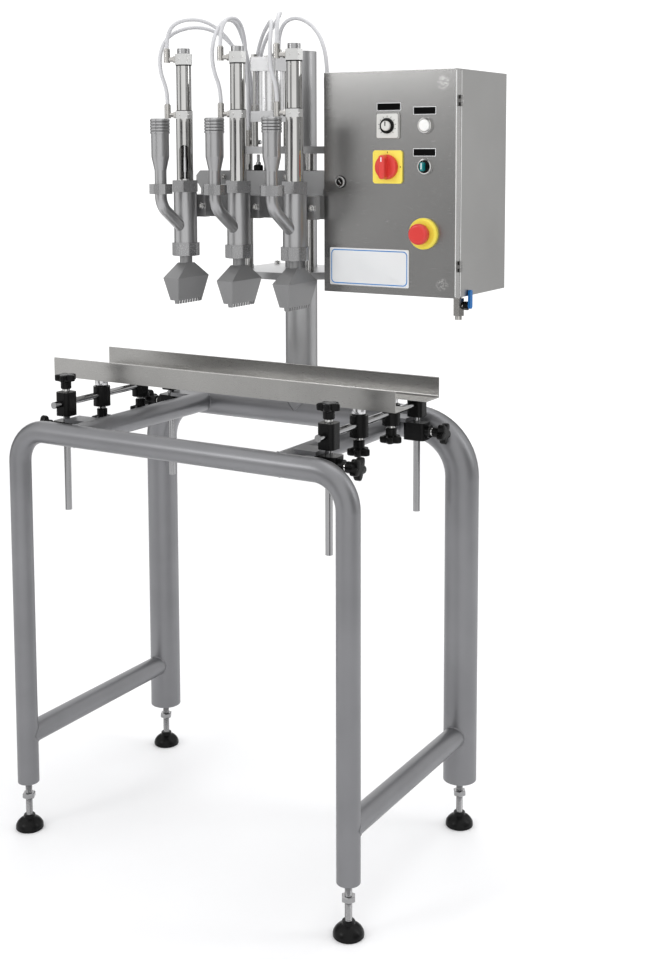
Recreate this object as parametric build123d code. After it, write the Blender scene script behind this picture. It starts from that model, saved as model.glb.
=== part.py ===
from build123d import *
import math
import os

# Cream filling machine on a tube stand: three pneumatic depositing heads on a lift,
# a control box on the post and a pair of adjustable guides under the nozzles.
# Millimetres, +Z up, X along the guides, -Y is the operator's side, origin on the floor.

# Clearances
weld_gap = 0.2
run_fit = 0.06
slip_fit = 0.15
touch_gap = 0.3

# Tube stand
stand_mid_y = -57.0
leg_span_x = 780.0
leg_span_y = 474.0
bar_axis_z = 860.0
leg_end_z = 103.0
front_tube_r = 22.5
rear_tube_r = 35.0
tube_wall = 2.0
front_bend_r = 67.5
rear_bend_r = 105.0
leg_plug_h = 10.0
stretcher_r = 22.5
stretcher_z = 205.0
cross_tube_r = 22.5
cross_tube_x = 245.0
lug_w = 44.0
lug_t = 8.0
lug_short = 8.0
cope_half = 60.0

# Levelling feet
foot_pad_r = 29.0
foot_pad_h = 30.0
foot_rim_h = 6.0
foot_neck_r = 12.0
foot_seat_z = 20.0
stud_r = 7.0
stud_in_leg = 48.0
foot_nut_af = 24.0
foot_nut_h = 11.0
foot_nut_drop = 25.0

# Post and lift
post_r = 35.0
post_wall = 2.5
post_top_z = 1640.0
post_cap_t = 4.0
plate_t = 15.0
upper_plate_z = 1422.0
lower_plate_z = 1161.0
plate_left = 105.0
plate_front = 154.0
plate_back = 60.0
plate_nose = 62.0
plate_corner = 40.0
arm_front = 78.0
arm_land = 5.0
lift_rod_r = 10.0
lift_rod_x = 77.0
lift_rod_dy = 90.0
lift_cyl_dy = 118.0
lift_cap_side = 64.0
lift_cap_round = 5.0
lift_cap_low_z = 1488.0
lift_cap_low_t = 22.0
lift_cap_top_t = 29.0
lift_barrel_z1 = 1592.0
lift_bore_r = 25.0
lift_barrel_wall = 2.5
tie_rod_r = 4.0
tie_rod_out = 24.0
tie_nut_af = 13.0
tie_nut_h = 6.0
pillar_r = 7.0
lift_shaft_r = 9.0
lift_piston_t = 16.0
lift_piston_drop = 6.0
coupling_r = 14.0
coupling_h = 13.0
coupling_room = 1.0

# Carriage
carriage_half = 164.0
carriage_low_half = 152.0
carriage_z0 = 1290.0
carriage_z1 = 1387.0
carriage_t = 12.0
carriage_face_dy = 159.0
wing_top_cut = 10.0
wing_edge_h = 11.0
wing_low_cut = 17.0
bush_block_half = 22.0
bush_wall = 4.0
link_block_half = 30.0
link_block_h = 37.0
link_block_d = 52.0

# Depositing heads
head_pitch = 134.0
head_dy = 239.0
body_r = 24.0
body_bore_r = 17.0
body_z0 = 1239.0
body_z1 = 1344.0
spigot_r = 20.0
spigot_h = 18.0
flange_half = 36.0
flange_t = 15.0
flange_h = 46.0
flange_lift = 2.0
flange_dy = 36.0
standoff_half = 22.0
gland_nut_af = 49.0
gland_nut_h = 24.0
sleeve_r = 17.25
sleeve_wall = 2.5
sleeve_z1 = 1494.0
slot_w = 20.0
slot_z0 = 1371.0
slot_z1 = 1440.0
slot_angles = (-58.0, 150.0, 150.0)
block_side = 34.0
block_cut = 9.0
mid_block_h = 16.0
barrel_r = 15.5
barrel_wall = 1.5
barrel_z1 = 1604.0
top_block_h = 22.0
top_boss_r = 12.5
top_boss_h = 11.0
cap_turn = -58.0
nozzle_nut_r = 29.5
nozzle_nut_h = 27.0
nozzle_nut_round = 1.0
nozzle_nut_cut = 1.0
neck_r = 13.0
neck_bore_r = 8.0
neck_sink = 6.0
roof_inset = 0.5
neck_z0 = 1197.0
shoulder_z = 1168.0
nozzle_z0 = 1114.0
shoulder_x = 19.5
shoulder_y = 53.0
lip_x = 9.0
lip_y = 40.0
nozzle_wall = 2.0
tooth_count = 9
tooth_h = 7.0
tooth_gap = 4.0
lip_step = 7.0

# Product inlet beside each head
inlet_dy = 82.0
inlet_r = 12.0
inlet_bore_r = 9.5
inlet_join_z = 1262.0
inlet_bend_z = 1318.0
inlet_bend_r = 40.0
union_z0 = 1342.0
union_h = 20.0
union_r = 23.5
union_flat_count = 12
tail_tube_r = 12.0
tail_cone_z0 = 1389.0
tail_cone_z1 = 1417.0
tail_r = 18.0
tail_bore_r = 9.5
tail_wall = 2.5
rib_z0 = 1463.0
tail_z1 = 1493.0
rib_count = 5
rib_r = 19.8
rib_flat = 0.7
rib_slope = 0.9

# Plungers
plunger_stroke = 40.0
plunger_rod_r = 5.0
plunger_joint_r = 7.0
plunger_joint_z0 = 1385.0
plunger_joint_z1 = 1415.0
plunger_tip_z = 1243.0
plunger_head_h = 60.0
piston_t = 12.0
piston_lift = 4.0

# Air fittings and tubes
fitting_r = 6.5
fitting_stem_r = 5.0
fitting_reach = 34.0
fitting_below = 7.0
fitting_up = 20.0
air_tube_r = 4.0
bend_share = 0.45
manifold_h = 18.0
port_r = 6.0
port_h = 14.0
low_manifold = (-66.0, -34.0, 32.0, 66.0)
low_ports = [(-59.0, 40.0), (-42.0, 40.0), (-50.0, 57.0)]
high_manifold_x = -62.0
high_manifold_ys = (67.0, 93.0)
high_manifold_lift = 2.0
high_ports = [(-55.0, 73.0), (-40.0, 73.0), (-47.0, 86.0)]
lift_port = (8.0, 82.0)
lift_port_h = 16.0
box_port_dy = 35.5
box_port_drop = 21.0
box_port_out = 14.0
box_port_hole_r = 4.0

# Control box
box_x0 = 170.0
box_w = 289.0
box_h = 433.0
box_z0 = 1148.0
box_front_dy = 185.5
box_depth = 234.0
door_t = 20.0
sheet = 1.5
door_gap = 0.5
box_flange = 15.0
hinge_out = 3.5
hinge_r = 3.5
hinge_pin_r = 2.0
hinge_len = 7.0
hinge_inset = 56.0
hinge_leaf = 9.0
back_plate_gap = 12.0
back_plate_inset = 25.0
back_plate_t = 2.0
spacer_r = 4.0
spacer_inset = 10.0
rail_share = 0.72
rail_d = 8.0
rail_half = 17.0
rail_inset = 15.0
relay_count = 4
relay_w = 34.0
relay_gap = 6.0
relay_d = 68.0
relay_half = 42.0
relay_inset = 25.0
bank_share = 0.3
bank_d = 45.0
bank_half = 30.0
bank_left = 30.0
bank_right = 60.0

# Door controls, measured from the box's lower left front corner
timer_xz = (144.5, 327.5)
lamp_xz = (224.5, 327.5)
switch_xz = (144.5, 248.5)
selector_xz = (224.5, 249.5)
estop_xz = (222.5, 121.5)
lock_xz = (37.5, 218.5)
timer_side = 48.0
timer_bezel_t = 5.0
timer_round = 3.0
timer_body_side = 44.0
timer_body_d = 55.0
dial_r = 15.0
dial_t = 9.0
dial_grip_r = 9.0
dial_shaft_r = 3.0
dial_hole_d = 5.0
pointer_half = 1.5
pointer_h = 2.0
bezel_r = 14.5
bezel_t = 5.0
bezel_body_r = 11.0
bezel_body_d = 42.0
lens_r = 11.5
lens_t = 9.0
lens_seat = 1.0
lens_round = 3.0
switch_plate_side = 64.0
switch_plate_t = 4.0
switch_plate_round = 6.0
switch_shaft_r = 5.0
switch_hole_d = 15.0
switch_body_side = 46.0
switch_body_d = 40.0
switch_hub_r = 24.0
switch_hub_t = 10.0
switch_grip_w = 13.0
switch_grip_t = 16.0
switch_grip_short = 1.0
switch_grip_round = 4.0
selector_grip_w = 8.0
selector_r = 10.5
selector_t = 14.0
selector_grip_out = 3.0
selector_grip_short = 2.0
selector_round = 3.0
estop_ring_r = 30.0
estop_ring_t = 10.0
estop_bore_r = 12.0
estop_head_r = 20.0
estop_head_t = 14.0
estop_stand = 8.0
estop_shaft_r = 11.0
estop_travel = 5.0
estop_floor = 8.0
estop_clear = 2.0
estop_ring_cut = 4.0
estop_head_round = 6.0
lock_head_r = 11.0
lock_head_t = 4.0
lock_r = 9.0
lock_reach = 28.0
key_slot_half_l = 7.0
key_slot_half_w = 1.0
key_slot_d = 2.0
cam_w = 10.0
cam_l = 34.0
cam_t = 3.0

# Air inlet valve under the box
inlet_valve_inset = 21.0
inlet_valve_dy = 60.0
valve_r = 10.0
valve_neck_r = 7.0
valve_hole_r = 8.0
valve_hex_low = 8.0
valve_hex_top = 6.0
valve_len = 48.0
valve_stem_r = 4.5
valve_port_r = 5.9
valve_port_d = 12.0
lever_drop = 20.0
lever_gap = 1.0
lever_t = 5.0
lever_w = 11.0
lever_l = 26.0

# Guides under the nozzles
guide_half = 415.0
guide_mid_x = -8.0
guide_web_y = 92.0
guide_web_h = 40.0
guide_flange_w = 55.0
guide_t = 2.0
guide_z0 = 946.0
support_x = 315.0
support_inset = 60.0
support_rod_r = 7.0
support_rod_z0 = 687.0
cross_rod_z = 912.0
cross_rod_front_end = 39.0
cross_rod_back_end = 22.0
cross_clamp_side = 34.0
cross_clamp_round = 9.0
cross_clamp_z0 = 886.0
cross_clamp_z1 = 935.0
rod_seat_z = 897.0
guide_clamp_y = 65.0
guide_clamp_r = 18.0
guide_clamp_z0 = 888.0
guide_clamp_z1 = 930.0
guide_stub_r = 13.0
frame_clamp_half = 24.0
frame_clamp_w = 36.0
frame_clamp_z0 = 838.0
frame_clamp_round = 8.0
frame_clamp_boss_r = 13.0
frame_clamp_boss_l = 8.0

# Star knobs
knob_stud_r = 4.0
knob_neck_r = 8.0
knob_neck_h = 6.0
knob_hub_r = 11.0
knob_hub_h = 16.0
knob_head_r = 15.0
knob_head_h = 14.0
knob_lobes = 5
knob_lobe_r = 7.0
knob_lobe_out = 16.0

# Places that follow from the sizes above
leg_x = leg_span_x / 2
support_y = leg_span_y / 2 - support_inset
front_y = stand_mid_y - leg_span_y / 2
rear_y = stand_mid_y + leg_span_y / 2
post_y = rear_y
lift_rod_y = post_y - lift_rod_dy
lift_cyl_y = post_y - lift_cyl_dy
carriage_y0 = post_y - carriage_face_dy
carriage_y1 = carriage_y0 + carriage_t
head_y = post_y - head_dy
head_xs = (-head_pitch, 0.0, head_pitch)
upper_plate_z1 = upper_plate_z + plate_t
lower_plate_z1 = lower_plate_z + plate_t
lift_barrel_z0 = lift_cap_low_z + lift_cap_low_t
lift_cap_z1 = lift_barrel_z1 + lift_cap_top_t
inlet_y = head_y - inlet_dy
box_x1 = box_x0 + box_w
box_z1 = box_z0 + box_h
box_y0 = post_y - box_front_dy
box_y1 = box_y0 + box_depth
shell_y0 = box_y0 + door_t
hinge_x = box_x1 + hinge_out
hinge_y = shell_y0 - hinge_r
hinge_zs = (box_z0 + hinge_inset, box_z1 - hinge_inset - hinge_len)
inlet_valve_x = box_x1 - inlet_valve_inset
lever_x0 = box_x1 + lever_gap + touch_gap
lever_y = box_y0 + inlet_valve_dy
box_port_y = box_y0 + box_port_dy
box_port_z = box_z1 - box_port_drop
lever_z = box_z0 - lever_drop
spigot_z1 = body_z1 + spigot_h
mid_block_z1 = sleeve_z1 + mid_block_h
top_block_z1 = barrel_z1 + top_block_h
lug_z1 = bar_axis_z + cross_tube_r
frame_clamp_z1 = lug_z1 - lug_t
frame_knob_z = (frame_clamp_z0 + frame_clamp_z1) / 2

# The machine is drawn about the stand's middle and saved about the middle of its own box
shift_x = (leg_x + rear_tube_r - hinge_x - hinge_r) / 2
shift_y = (foot_pad_r - front_y - post_y - plate_back) / 2

os.makedirs("parts", exist_ok=True)
bottom_aligned = (Align.CENTER, Align.CENTER, Align.MIN)


def rod_z(r, z0, z1, x=0.0, y=0.0):
    return Pos(x, y, z0) * Cylinder(r, z1 - z0, align=bottom_aligned)


def rod_x(r, x0, x1, y=0.0, z=0.0):
    return Pos(x0, y, z) * Rot(0, 90, 0) * Cylinder(r, x1 - x0, align=bottom_aligned)


def rod_y(r, y0, y1, x=0.0, z=0.0):
    return Pos(x, y0, z) * Rot(-90, 0, 0) * Cylinder(r, y1 - y0, align=bottom_aligned)


def block(x0, x1, y0, y1, z0, z1):
    return Pos((x0 + x1) / 2, (y0 + y1) / 2, (z0 + z1) / 2) * Box(x1 - x0, y1 - y0, z1 - z0)


def pipe_z(r, bore, z0, z1, x=0.0, y=0.0):
    return rod_z(r, z0, z1, x, y) - rod_z(bore, z0 - 1, z1 + 1, x, y)


def prism_z(sketch, z0, z1, x=0.0, y=0.0):
    return Pos(x, y, z0) * extrude(sketch, z1 - z0)


def hexagon(across_flats):
    return RegularPolygon(across_flats / 2, 6, major_radius=False)


def chamfered_square(side, cut):
    return chamfer(Rectangle(side, side).vertices(), cut)


def swept_tube(path, r, bore):
    ring = Circle(r) - Circle(bore)
    return sweep(Plane(origin=path @ 0, z_dir=path % 0) * ring, path=path)


def save(name, *solids):
    placed = [Pos(shift_x, shift_y, 0) * solid for solid in solids]
    shape = placed[0] if len(placed) == 1 else Compound(children=placed)
    export_step(shape, f"parts/{name}.step")


# Tube stand: two bent frames, stretchers near the floor and cross tubes under the guides
def leg_frame(y, r, bend_r):
    left = [(-leg_x, y, leg_end_z), (-leg_x, y, bar_axis_z)]
    right = [(leg_x, y, bar_axis_z), (leg_x, y, leg_end_z)]
    frame = swept_tube(FilletPolyline(*left, *right, radius=bend_r), r, r - tube_wall)
    for x in (-leg_x, leg_x):
        plug = rod_z(r, leg_end_z, leg_end_z + leg_plug_h, x, y)
        frame += plug - rod_z(stud_r + slip_fit, leg_end_z - 1, leg_end_z + leg_plug_h + 1, x, y)
    return frame


def cross_member(x, z, r, front_cutter, rear_cutter):
    tube = rod_y(r, front_y, rear_y, x, z) - rod_y(r - tube_wall, front_y - 1, rear_y + 1, x, z)
    return tube - front_cutter - rear_cutter


def floor_stretcher(x):
    front_cut = rod_z(front_tube_r + weld_gap, leg_end_z, bar_axis_z, x, front_y)
    rear_cut = rod_z(rear_tube_r + weld_gap, leg_end_z, bar_axis_z, x, rear_y)
    return cross_member(x, stretcher_z, stretcher_r, front_cut, rear_cut)


def guide_cross_tube(side):
    x = side * cross_tube_x
    front_cut = rod_x(front_tube_r + weld_gap, x - cope_half, x + cope_half, front_y, bar_axis_z)
    rear_cut = rod_x(rear_tube_r + weld_gap, x - cope_half, x + cope_half, rear_y, bar_axis_z)
    tube = cross_member(x, bar_axis_z, cross_tube_r, front_cut, rear_cut)
    bore = rod_y(cross_tube_r - tube_wall, front_y, rear_y, x, bar_axis_z)
    x_end = side * (support_x - support_rod_r - lug_short)
    for y in (stand_mid_y - support_y, stand_mid_y + support_y):
        lug = block(min(x, x_end), max(x, x_end), y - lug_w / 2, y + lug_w / 2, frame_clamp_z1, lug_z1)
        tube += lug - bore
    return tube


save("front_leg_frame", leg_frame(front_y, front_tube_r, front_bend_r))
save("rear_leg_frame", leg_frame(rear_y, rear_tube_r, rear_bend_r))
save(
    "cross_members",
    floor_stretcher(-leg_x),
    floor_stretcher(leg_x),
    guide_cross_tube(-1),
    guide_cross_tube(1),
)


# Levelling feet: a domed pad with a threaded stud and its lock nut
def foot(x, y):
    with BuildSketch(Plane.XZ) as half:
        with BuildLine():
            base = Polyline((0, 0), (foot_pad_r, 0), (foot_pad_r, foot_rim_h))
            dome_end = (foot_neck_r, foot_pad_h - foot_rim_h)
            dome = TangentArc(base @ 1, dome_end, tangent=(0, 1))
            Polyline(dome @ 1, (foot_neck_r, foot_pad_h), (0, foot_pad_h), (0, 0))
        make_face()
    pad = revolve(half.sketch, Axis.Z) - rod_z(stud_r + slip_fit, foot_seat_z, foot_pad_h + 1)
    nut_z1 = leg_end_z - foot_nut_drop
    stud = rod_z(stud_r, foot_seat_z, leg_end_z + stud_in_leg)
    stud += prism_z(hexagon(foot_nut_af), nut_z1 - foot_nut_h, nut_z1)
    return Pos(x, y, 0) * pad, Pos(x, y, 0) * stud


for foot_name, foot_x, foot_y in (
    ("foot_front_left", -leg_x, front_y),
    ("foot_front_right", leg_x, front_y),
    ("foot_rear_left", -leg_x, rear_y),
    ("foot_rear_right", leg_x, rear_y),
):
    save(foot_name, *foot(foot_x, foot_y))

# Post, coped over the rear bar and closed by a flat cap
post = pipe_z(post_r, post_r - post_wall, bar_axis_z, post_top_z, 0, post_y)
post += rod_z(post_r, post_top_z - post_cap_t, post_top_z, 0, post_y)
post -= rod_x(rear_tube_r + weld_gap, -2 * post_r, 2 * post_r, rear_y, bar_axis_z)
save("post", post)


# Lift: two plates on the post, guide rods between them and the lift cylinder on top
def lift_plate_outline():
    arm_start = plate_nose + plate_front - arm_front
    points = [
        (-plate_left, plate_back),
        (-plate_left, plate_corner - plate_front),
        (plate_corner - plate_left, -plate_front),
        (plate_nose, -plate_front),
        (min(arm_start, box_x0 - arm_land), -arm_front),
        (box_x0, -arm_front),
        (box_x0, plate_back),
    ]
    return make_face(Polyline(*points, close=True))


def lift_plate(z):
    plate = prism_z(lift_plate_outline(), z, z + plate_t, 0, post_y)
    plate -= rod_z(post_r + run_fit, z - 1, z + plate_t + 1, 0, post_y)
    for x in (-lift_rod_x, lift_rod_x):
        plate -= rod_z(lift_rod_r + run_fit, z - 1, z + plate_t + 1, x, lift_rod_y)
    return plate


def around_lift_cylinder():
    outs = (-tie_rod_out, tie_rod_out)
    return [(dx, lift_cyl_y + dy) for dx in outs for dy in outs]


def lift_cap(z0, z1, bore):
    square = fillet(Rectangle(lift_cap_side, lift_cap_side).vertices(), lift_cap_round)
    cap = prism_z(square, z0, z1, 0, lift_cyl_y)
    for x, y in around_lift_cylinder():
        cap -= rod_z(tie_rod_r + slip_fit, z0 - 1, z1 + 1, x, y)
    return cap - rod_z(bore, z0 - 1, z1 + 1, 0, lift_cyl_y) if bore else cap


def tie_rod(x, y):
    rod = rod_z(tie_rod_r, lift_cap_low_z, lift_cap_z1 + tie_nut_h, x, y)
    return rod + prism_z(hexagon(tie_nut_af), lift_cap_z1, lift_cap_z1 + tie_nut_h, x, y)


shaft_hole = rod_z(coupling_r + coupling_room, upper_plate_z - 1, upper_plate_z1 + 1, 0, lift_cyl_y)
save("lift_plates", lift_plate(upper_plate_z) - shaft_hole, lift_plate(lower_plate_z))
lift_rods = [
    rod_z(lift_rod_r, lower_plate_z, upper_plate_z1, x, lift_rod_y) for x in (-lift_rod_x, lift_rod_x)
]
lift_rods += [tie_rod(x, y) for x, y in around_lift_cylinder()]
lift_rods += [rod_z(pillar_r, upper_plate_z1, lift_cap_low_z, x, y) for x, y in around_lift_cylinder()]
save("lift_rods", *lift_rods)
save(
    "lift_cylinder_caps",
    lift_cap(lift_cap_low_z, lift_barrel_z0, lift_shaft_r + run_fit),
    lift_cap(lift_barrel_z1, lift_cap_z1, 0),
)
save(
    "lift_cylinder_barrel",
    pipe_z(lift_bore_r + lift_barrel_wall, lift_bore_r, lift_barrel_z0, lift_barrel_z1, 0, lift_cyl_y),
)
lift_piston_z1 = lift_barrel_z1 - lift_piston_drop
lift_shaft = rod_z(lift_shaft_r, carriage_z1, lift_piston_z1, 0, lift_cyl_y)
lift_shaft += rod_z(lift_bore_r - run_fit, lift_piston_z1 - lift_piston_t, lift_piston_z1, 0, lift_cyl_y)
lift_shaft += rod_z(coupling_r, carriage_z1, carriage_z1 + coupling_h, 0, lift_cyl_y)
save("lift_piston_rod", lift_shaft)


# Carriage: a winged plate with bush blocks on the guide rods and a block for the lift rod
def carriage_plate():
    z_wing_top = carriage_z1 - wing_top_cut
    z_wing_low = z_wing_top - wing_edge_h
    half = [
        (carriage_low_half, carriage_z0),
        (carriage_low_half, z_wing_low - wing_low_cut),
        (carriage_half, z_wing_low),
        (carriage_half, z_wing_top),
        (carriage_half - wing_top_cut, carriage_z1),
    ]
    outline = half + [(-x, z) for x, z in reversed(half)]
    face = make_face(Polyline(*outline, close=True))
    return Pos(0, carriage_y1, 0) * Rot(90, 0, 0) * extrude(face, carriage_t)


def bush_block(x):
    y1 = lift_rod_y + bush_block_half
    body = block(x - bush_block_half, x + bush_block_half, carriage_y1, y1, carriage_z0, carriage_z1)
    return body - rod_z(lift_rod_r + bush_wall, carriage_z0 - 1, carriage_z1 + 1, x, lift_rod_y)


def bush(x):
    return pipe_z(lift_rod_r + bush_wall, lift_rod_r + run_fit, carriage_z0, carriage_z1, x, lift_rod_y)


save("carriage_plate", carriage_plate())
save(
    "carriage_blocks",
    bush_block(-lift_rod_x),
    bush_block(lift_rod_x),
    block(
        -link_block_half,
        link_block_half,
        carriage_y1,
        carriage_y1 + link_block_d,
        carriage_z1 - link_block_h,
        carriage_z1,
    ),
)
save("carriage_bushes", bush(-lift_rod_x), bush(lift_rod_x))
flange_y1 = head_y + flange_dy
flange_z1 = carriage_z0 + flange_lift + flange_h
save(
    "head_standoffs",
    *[
        block(x - standoff_half, x + standoff_half, flange_y1, carriage_y0, flange_z1 - flange_h, flange_z1)
        for x in head_xs
    ],
)


# Valve body of a head: bored tube with a rear flange and a bent inlet tube at the front
def inlet_path():
    points = [(0, -inlet_dy, union_z0), (0, -inlet_dy, inlet_bend_z), (0, 0, inlet_join_z)]
    return FilletPolyline(*points, radius=inlet_bend_r)


def valve_body(x):
    path = inlet_path()
    outer = sweep(Plane(origin=path @ 0, z_dir=path % 0) * Circle(inlet_r), path=path)
    inner = sweep(Plane(origin=path @ 0, z_dir=path % 0) * Circle(inlet_bore_r), path=path)
    flange = block(
        -flange_half, flange_half, flange_dy - flange_t, flange_dy, flange_z1 - flange_h, flange_z1
    )
    body = rod_z(body_r, body_z0, body_z1) + rod_z(spigot_r, body_z1, spigot_z1) + flange + outer
    body = body - inner - rod_z(body_bore_r, body_z0 - 1, spigot_z1 + 1)
    return Pos(x, head_y, 0) * body


def gland_nut(x):
    nut = prism_z(hexagon(gland_nut_af), body_z1, body_z1 + gland_nut_h)
    nut -= rod_z(spigot_r + run_fit, body_z1 - 1, spigot_z1)
    return Pos(x, head_y, 0) * (nut - rod_z(sleeve_r + run_fit, body_z1, body_z1 + gland_nut_h + 1))


def nozzle_nut(x):
    z0 = body_z0 - nozzle_nut_h
    nut = prism_z(RegularPolygon(nozzle_nut_r, 8), z0, body_z0)
    nut &= rod_z(nozzle_nut_r - nozzle_nut_round, z0, body_z0)
    edges = nut.edges().filter_by(GeomType.CIRCLE).group_by(Axis.Z)[0]
    nut = chamfer(edges, nozzle_nut_cut) if edges else nut
    return Pos(x, head_y, 0) * (nut - rod_z(neck_r + run_fit, z0 - 1, body_z0 + 1))


def union_nut(x):
    nut = prism_z(RegularPolygon(union_r, union_flat_count), union_z0, union_z0 + union_h)
    return Pos(x, inlet_y, 0) * (nut - rod_z(inlet_r + run_fit, union_z0 - 1, union_z0 + union_h + 1))


save("valve_bodies", *[valve_body(x) for x in head_xs])
save(
    "head_nuts",
    *[gland_nut(x) for x in head_xs],
    *[nozzle_nut(x) for x in head_xs],
    *[union_nut(x) for x in head_xs],
)


# Fan nozzle: round neck, roof to a wide shoulder, taper to a toothed lip across the guides and a plain lip set back
def tapered(z0, half0, z1, half1):
    low = Pos(0, 0, z0) * Rectangle(2 * half0[0], 2 * half0[1])
    high = Pos(0, 0, z1) * Rectangle(2 * half1[0], 2 * half1[1])
    return loft([low, high], ruled=True)


def nozzle_form(inset):
    shoulder = (shoulder_x - inset, shoulder_y - inset)
    lip = (lip_x - inset, lip_y - inset)
    roof_half = neck_r - roof_inset - inset
    roof_top = (roof_half, roof_half)
    return tapered(shoulder_z, shoulder, neck_z0, roof_top) + tapered(nozzle_z0, lip, shoulder_z, shoulder)


def nozzle(x):
    form = nozzle_form(0.0) + rod_z(neck_r, neck_z0 - neck_sink, body_z0)
    form -= nozzle_form(nozzle_wall)
    mouth = (lip_x - nozzle_wall, lip_y - nozzle_wall)
    form -= tapered(nozzle_z0 - 1, mouth, nozzle_z0 + 1, mouth)
    form -= rod_z(neck_bore_r, shoulder_z, body_z0 + 1)
    form -= block(-2 * lip_x, 0, -2 * lip_y, 2 * lip_y, nozzle_z0 - 1, nozzle_z0 + lip_step)
    pitch = 2 * lip_y / tooth_count
    for i in range(tooth_count):
        y = -lip_y + pitch * (i + 0.5)
        gap = (y - tooth_gap / 2, y + tooth_gap / 2)
        form -= block(0, 2 * lip_x, *gap, nozzle_z0 - 1, nozzle_z0 + tooth_h)
    return Pos(x, head_y, 0) * form


save("nozzles", *[nozzle(x) for x in head_xs])


# Hose tail: ribbed mouth, straight wall, cone and the tube held by the union nut
def hose_tail(x):
    z_seat = union_z0
    rib_pitch = (tail_z1 - rib_z0) / rib_count
    outline = [(tail_bore_r, z_seat), (tail_tube_r, z_seat), (tail_tube_r, tail_cone_z0)]
    outline += [(tail_r, tail_cone_z1), (tail_r, rib_z0)]
    for i in range(rib_count):
        z = rib_z0 + i * rib_pitch
        outline += [(rib_r, z), (rib_r, z + rib_flat * rib_pitch), (tail_r, z + rib_slope * rib_pitch)]
    outline += [(tail_r, tail_z1), (tail_r - tail_wall, tail_z1), (tail_r - tail_wall, tail_cone_z1)]
    outline += [(tail_bore_r, tail_cone_z0)]
    face = Plane.XZ * make_face(Polyline(*outline, close=True))
    return Pos(x, inlet_y, 0) * revolve(face, Axis.Z)


save("hose_tails", *[hose_tail(x) for x in head_xs])


# Head drive: slotted sleeve, mid block, air cylinder and its top block
def slotted_sleeve(x, angle):
    sleeve = pipe_z(sleeve_r, sleeve_r - sleeve_wall, spigot_z1, sleeve_z1)
    slot_top = slot_z1 - slot_w / 2
    reach = 2 * sleeve_r
    slot = block(0, reach, -slot_w / 2, slot_w / 2, slot_z0, slot_top)
    slot += rod_x(slot_w / 2, 0, reach, 0, slot_top)
    return Pos(x, head_y, 0) * (sleeve - Rot(0, 0, angle) * slot)


def mid_block(x):
    body = prism_z(chamfered_square(block_side, block_cut), sleeve_z1, mid_block_z1)
    body -= rod_z(plunger_rod_r + run_fit, sleeve_z1 - 1, mid_block_z1 + 1)
    return Pos(x, head_y, 0) * Rot(0, 0, cap_turn) * body


def top_block(x):
    body = prism_z(chamfered_square(block_side, block_cut), barrel_z1, top_block_z1)
    body += rod_z(top_boss_r, top_block_z1, top_block_z1 + top_boss_h)
    return Pos(x, head_y, 0) * Rot(0, 0, cap_turn) * body


save("slotted_sleeves", *[slotted_sleeve(x, a) for x, a in zip(head_xs, slot_angles)])
save(
    "cylinder_barrels",
    *[pipe_z(barrel_r, barrel_r - barrel_wall, mid_block_z1, barrel_z1, x, head_y) for x in head_xs],
)
save("cylinder_end_blocks", *[mid_block(x) for x in head_xs], *[top_block(x) for x in head_xs])


# Plunger: air piston, rod with its coupling seen in the sleeve's window, and the sealing head
def plunger(x):
    piston_z0 = mid_block_z1 + piston_lift
    shape = rod_z(barrel_r - barrel_wall - run_fit, piston_z0, piston_z0 + piston_t)
    shape += rod_z(plunger_rod_r, plunger_tip_z, piston_z0)
    shape += rod_z(plunger_joint_r, plunger_joint_z0, plunger_joint_z1)
    shape += rod_z(body_bore_r - run_fit, plunger_tip_z, plunger_tip_z + plunger_head_h)
    return Pos(x, head_y, 0) * shape


for i, x in enumerate(head_xs):
    save(f"plunger_{i + 1}", plunger(x))


# Push-in elbow: a stem out of a block's side and an upright body that takes the tube
def elbow(z):
    start = block_side / 2
    stem = rod_x(fitting_stem_r, start, fitting_reach, 0, z)
    upright = rod_z(fitting_r, z - fitting_below, z + fitting_up, fitting_reach, 0)
    return Rot(0, 0, cap_turn - 90) * (stem + upright)


mid_port_z = (sleeve_z1 + mid_block_z1) / 2
top_port_z = (barrel_z1 + top_block_z1) / 2
save(
    "head_air_fittings",
    *[Pos(x, head_y, 0) * elbow(z) for x in head_xs for z in (mid_port_z, top_port_z)],
)


# Air manifolds: three push-in ports each, one on the upper plate and one on the lift cylinder
def manifold(x0, x1, y0, y1, z0, ports):
    body = block(x0, x1, y0, y1, z0, z0 + manifold_h)
    for x, y in ports:
        body += rod_z(port_r, z0 + manifold_h, z0 + manifold_h + port_h, x, y)
    return body


high_manifold_z = lift_cap_low_z + high_manifold_lift
box_elbow = rod_x(fitting_stem_r, box_x0 - box_port_out, box_x0, box_port_y, box_port_z)
box_elbow += rod_z(
    fitting_r, box_port_z - fitting_below, box_port_z + port_h, box_x0 - box_port_out, box_port_y
)
save(
    "air_manifolds",
    manifold(*low_manifold, upper_plate_z1, low_ports),
    manifold(high_manifold_x, -lift_cap_side / 2, *high_manifold_ys, high_manifold_z, high_ports),
    rod_z(fitting_r, lift_cap_z1, lift_cap_z1 + lift_port_h, *lift_port),
    box_elbow,
)

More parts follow.
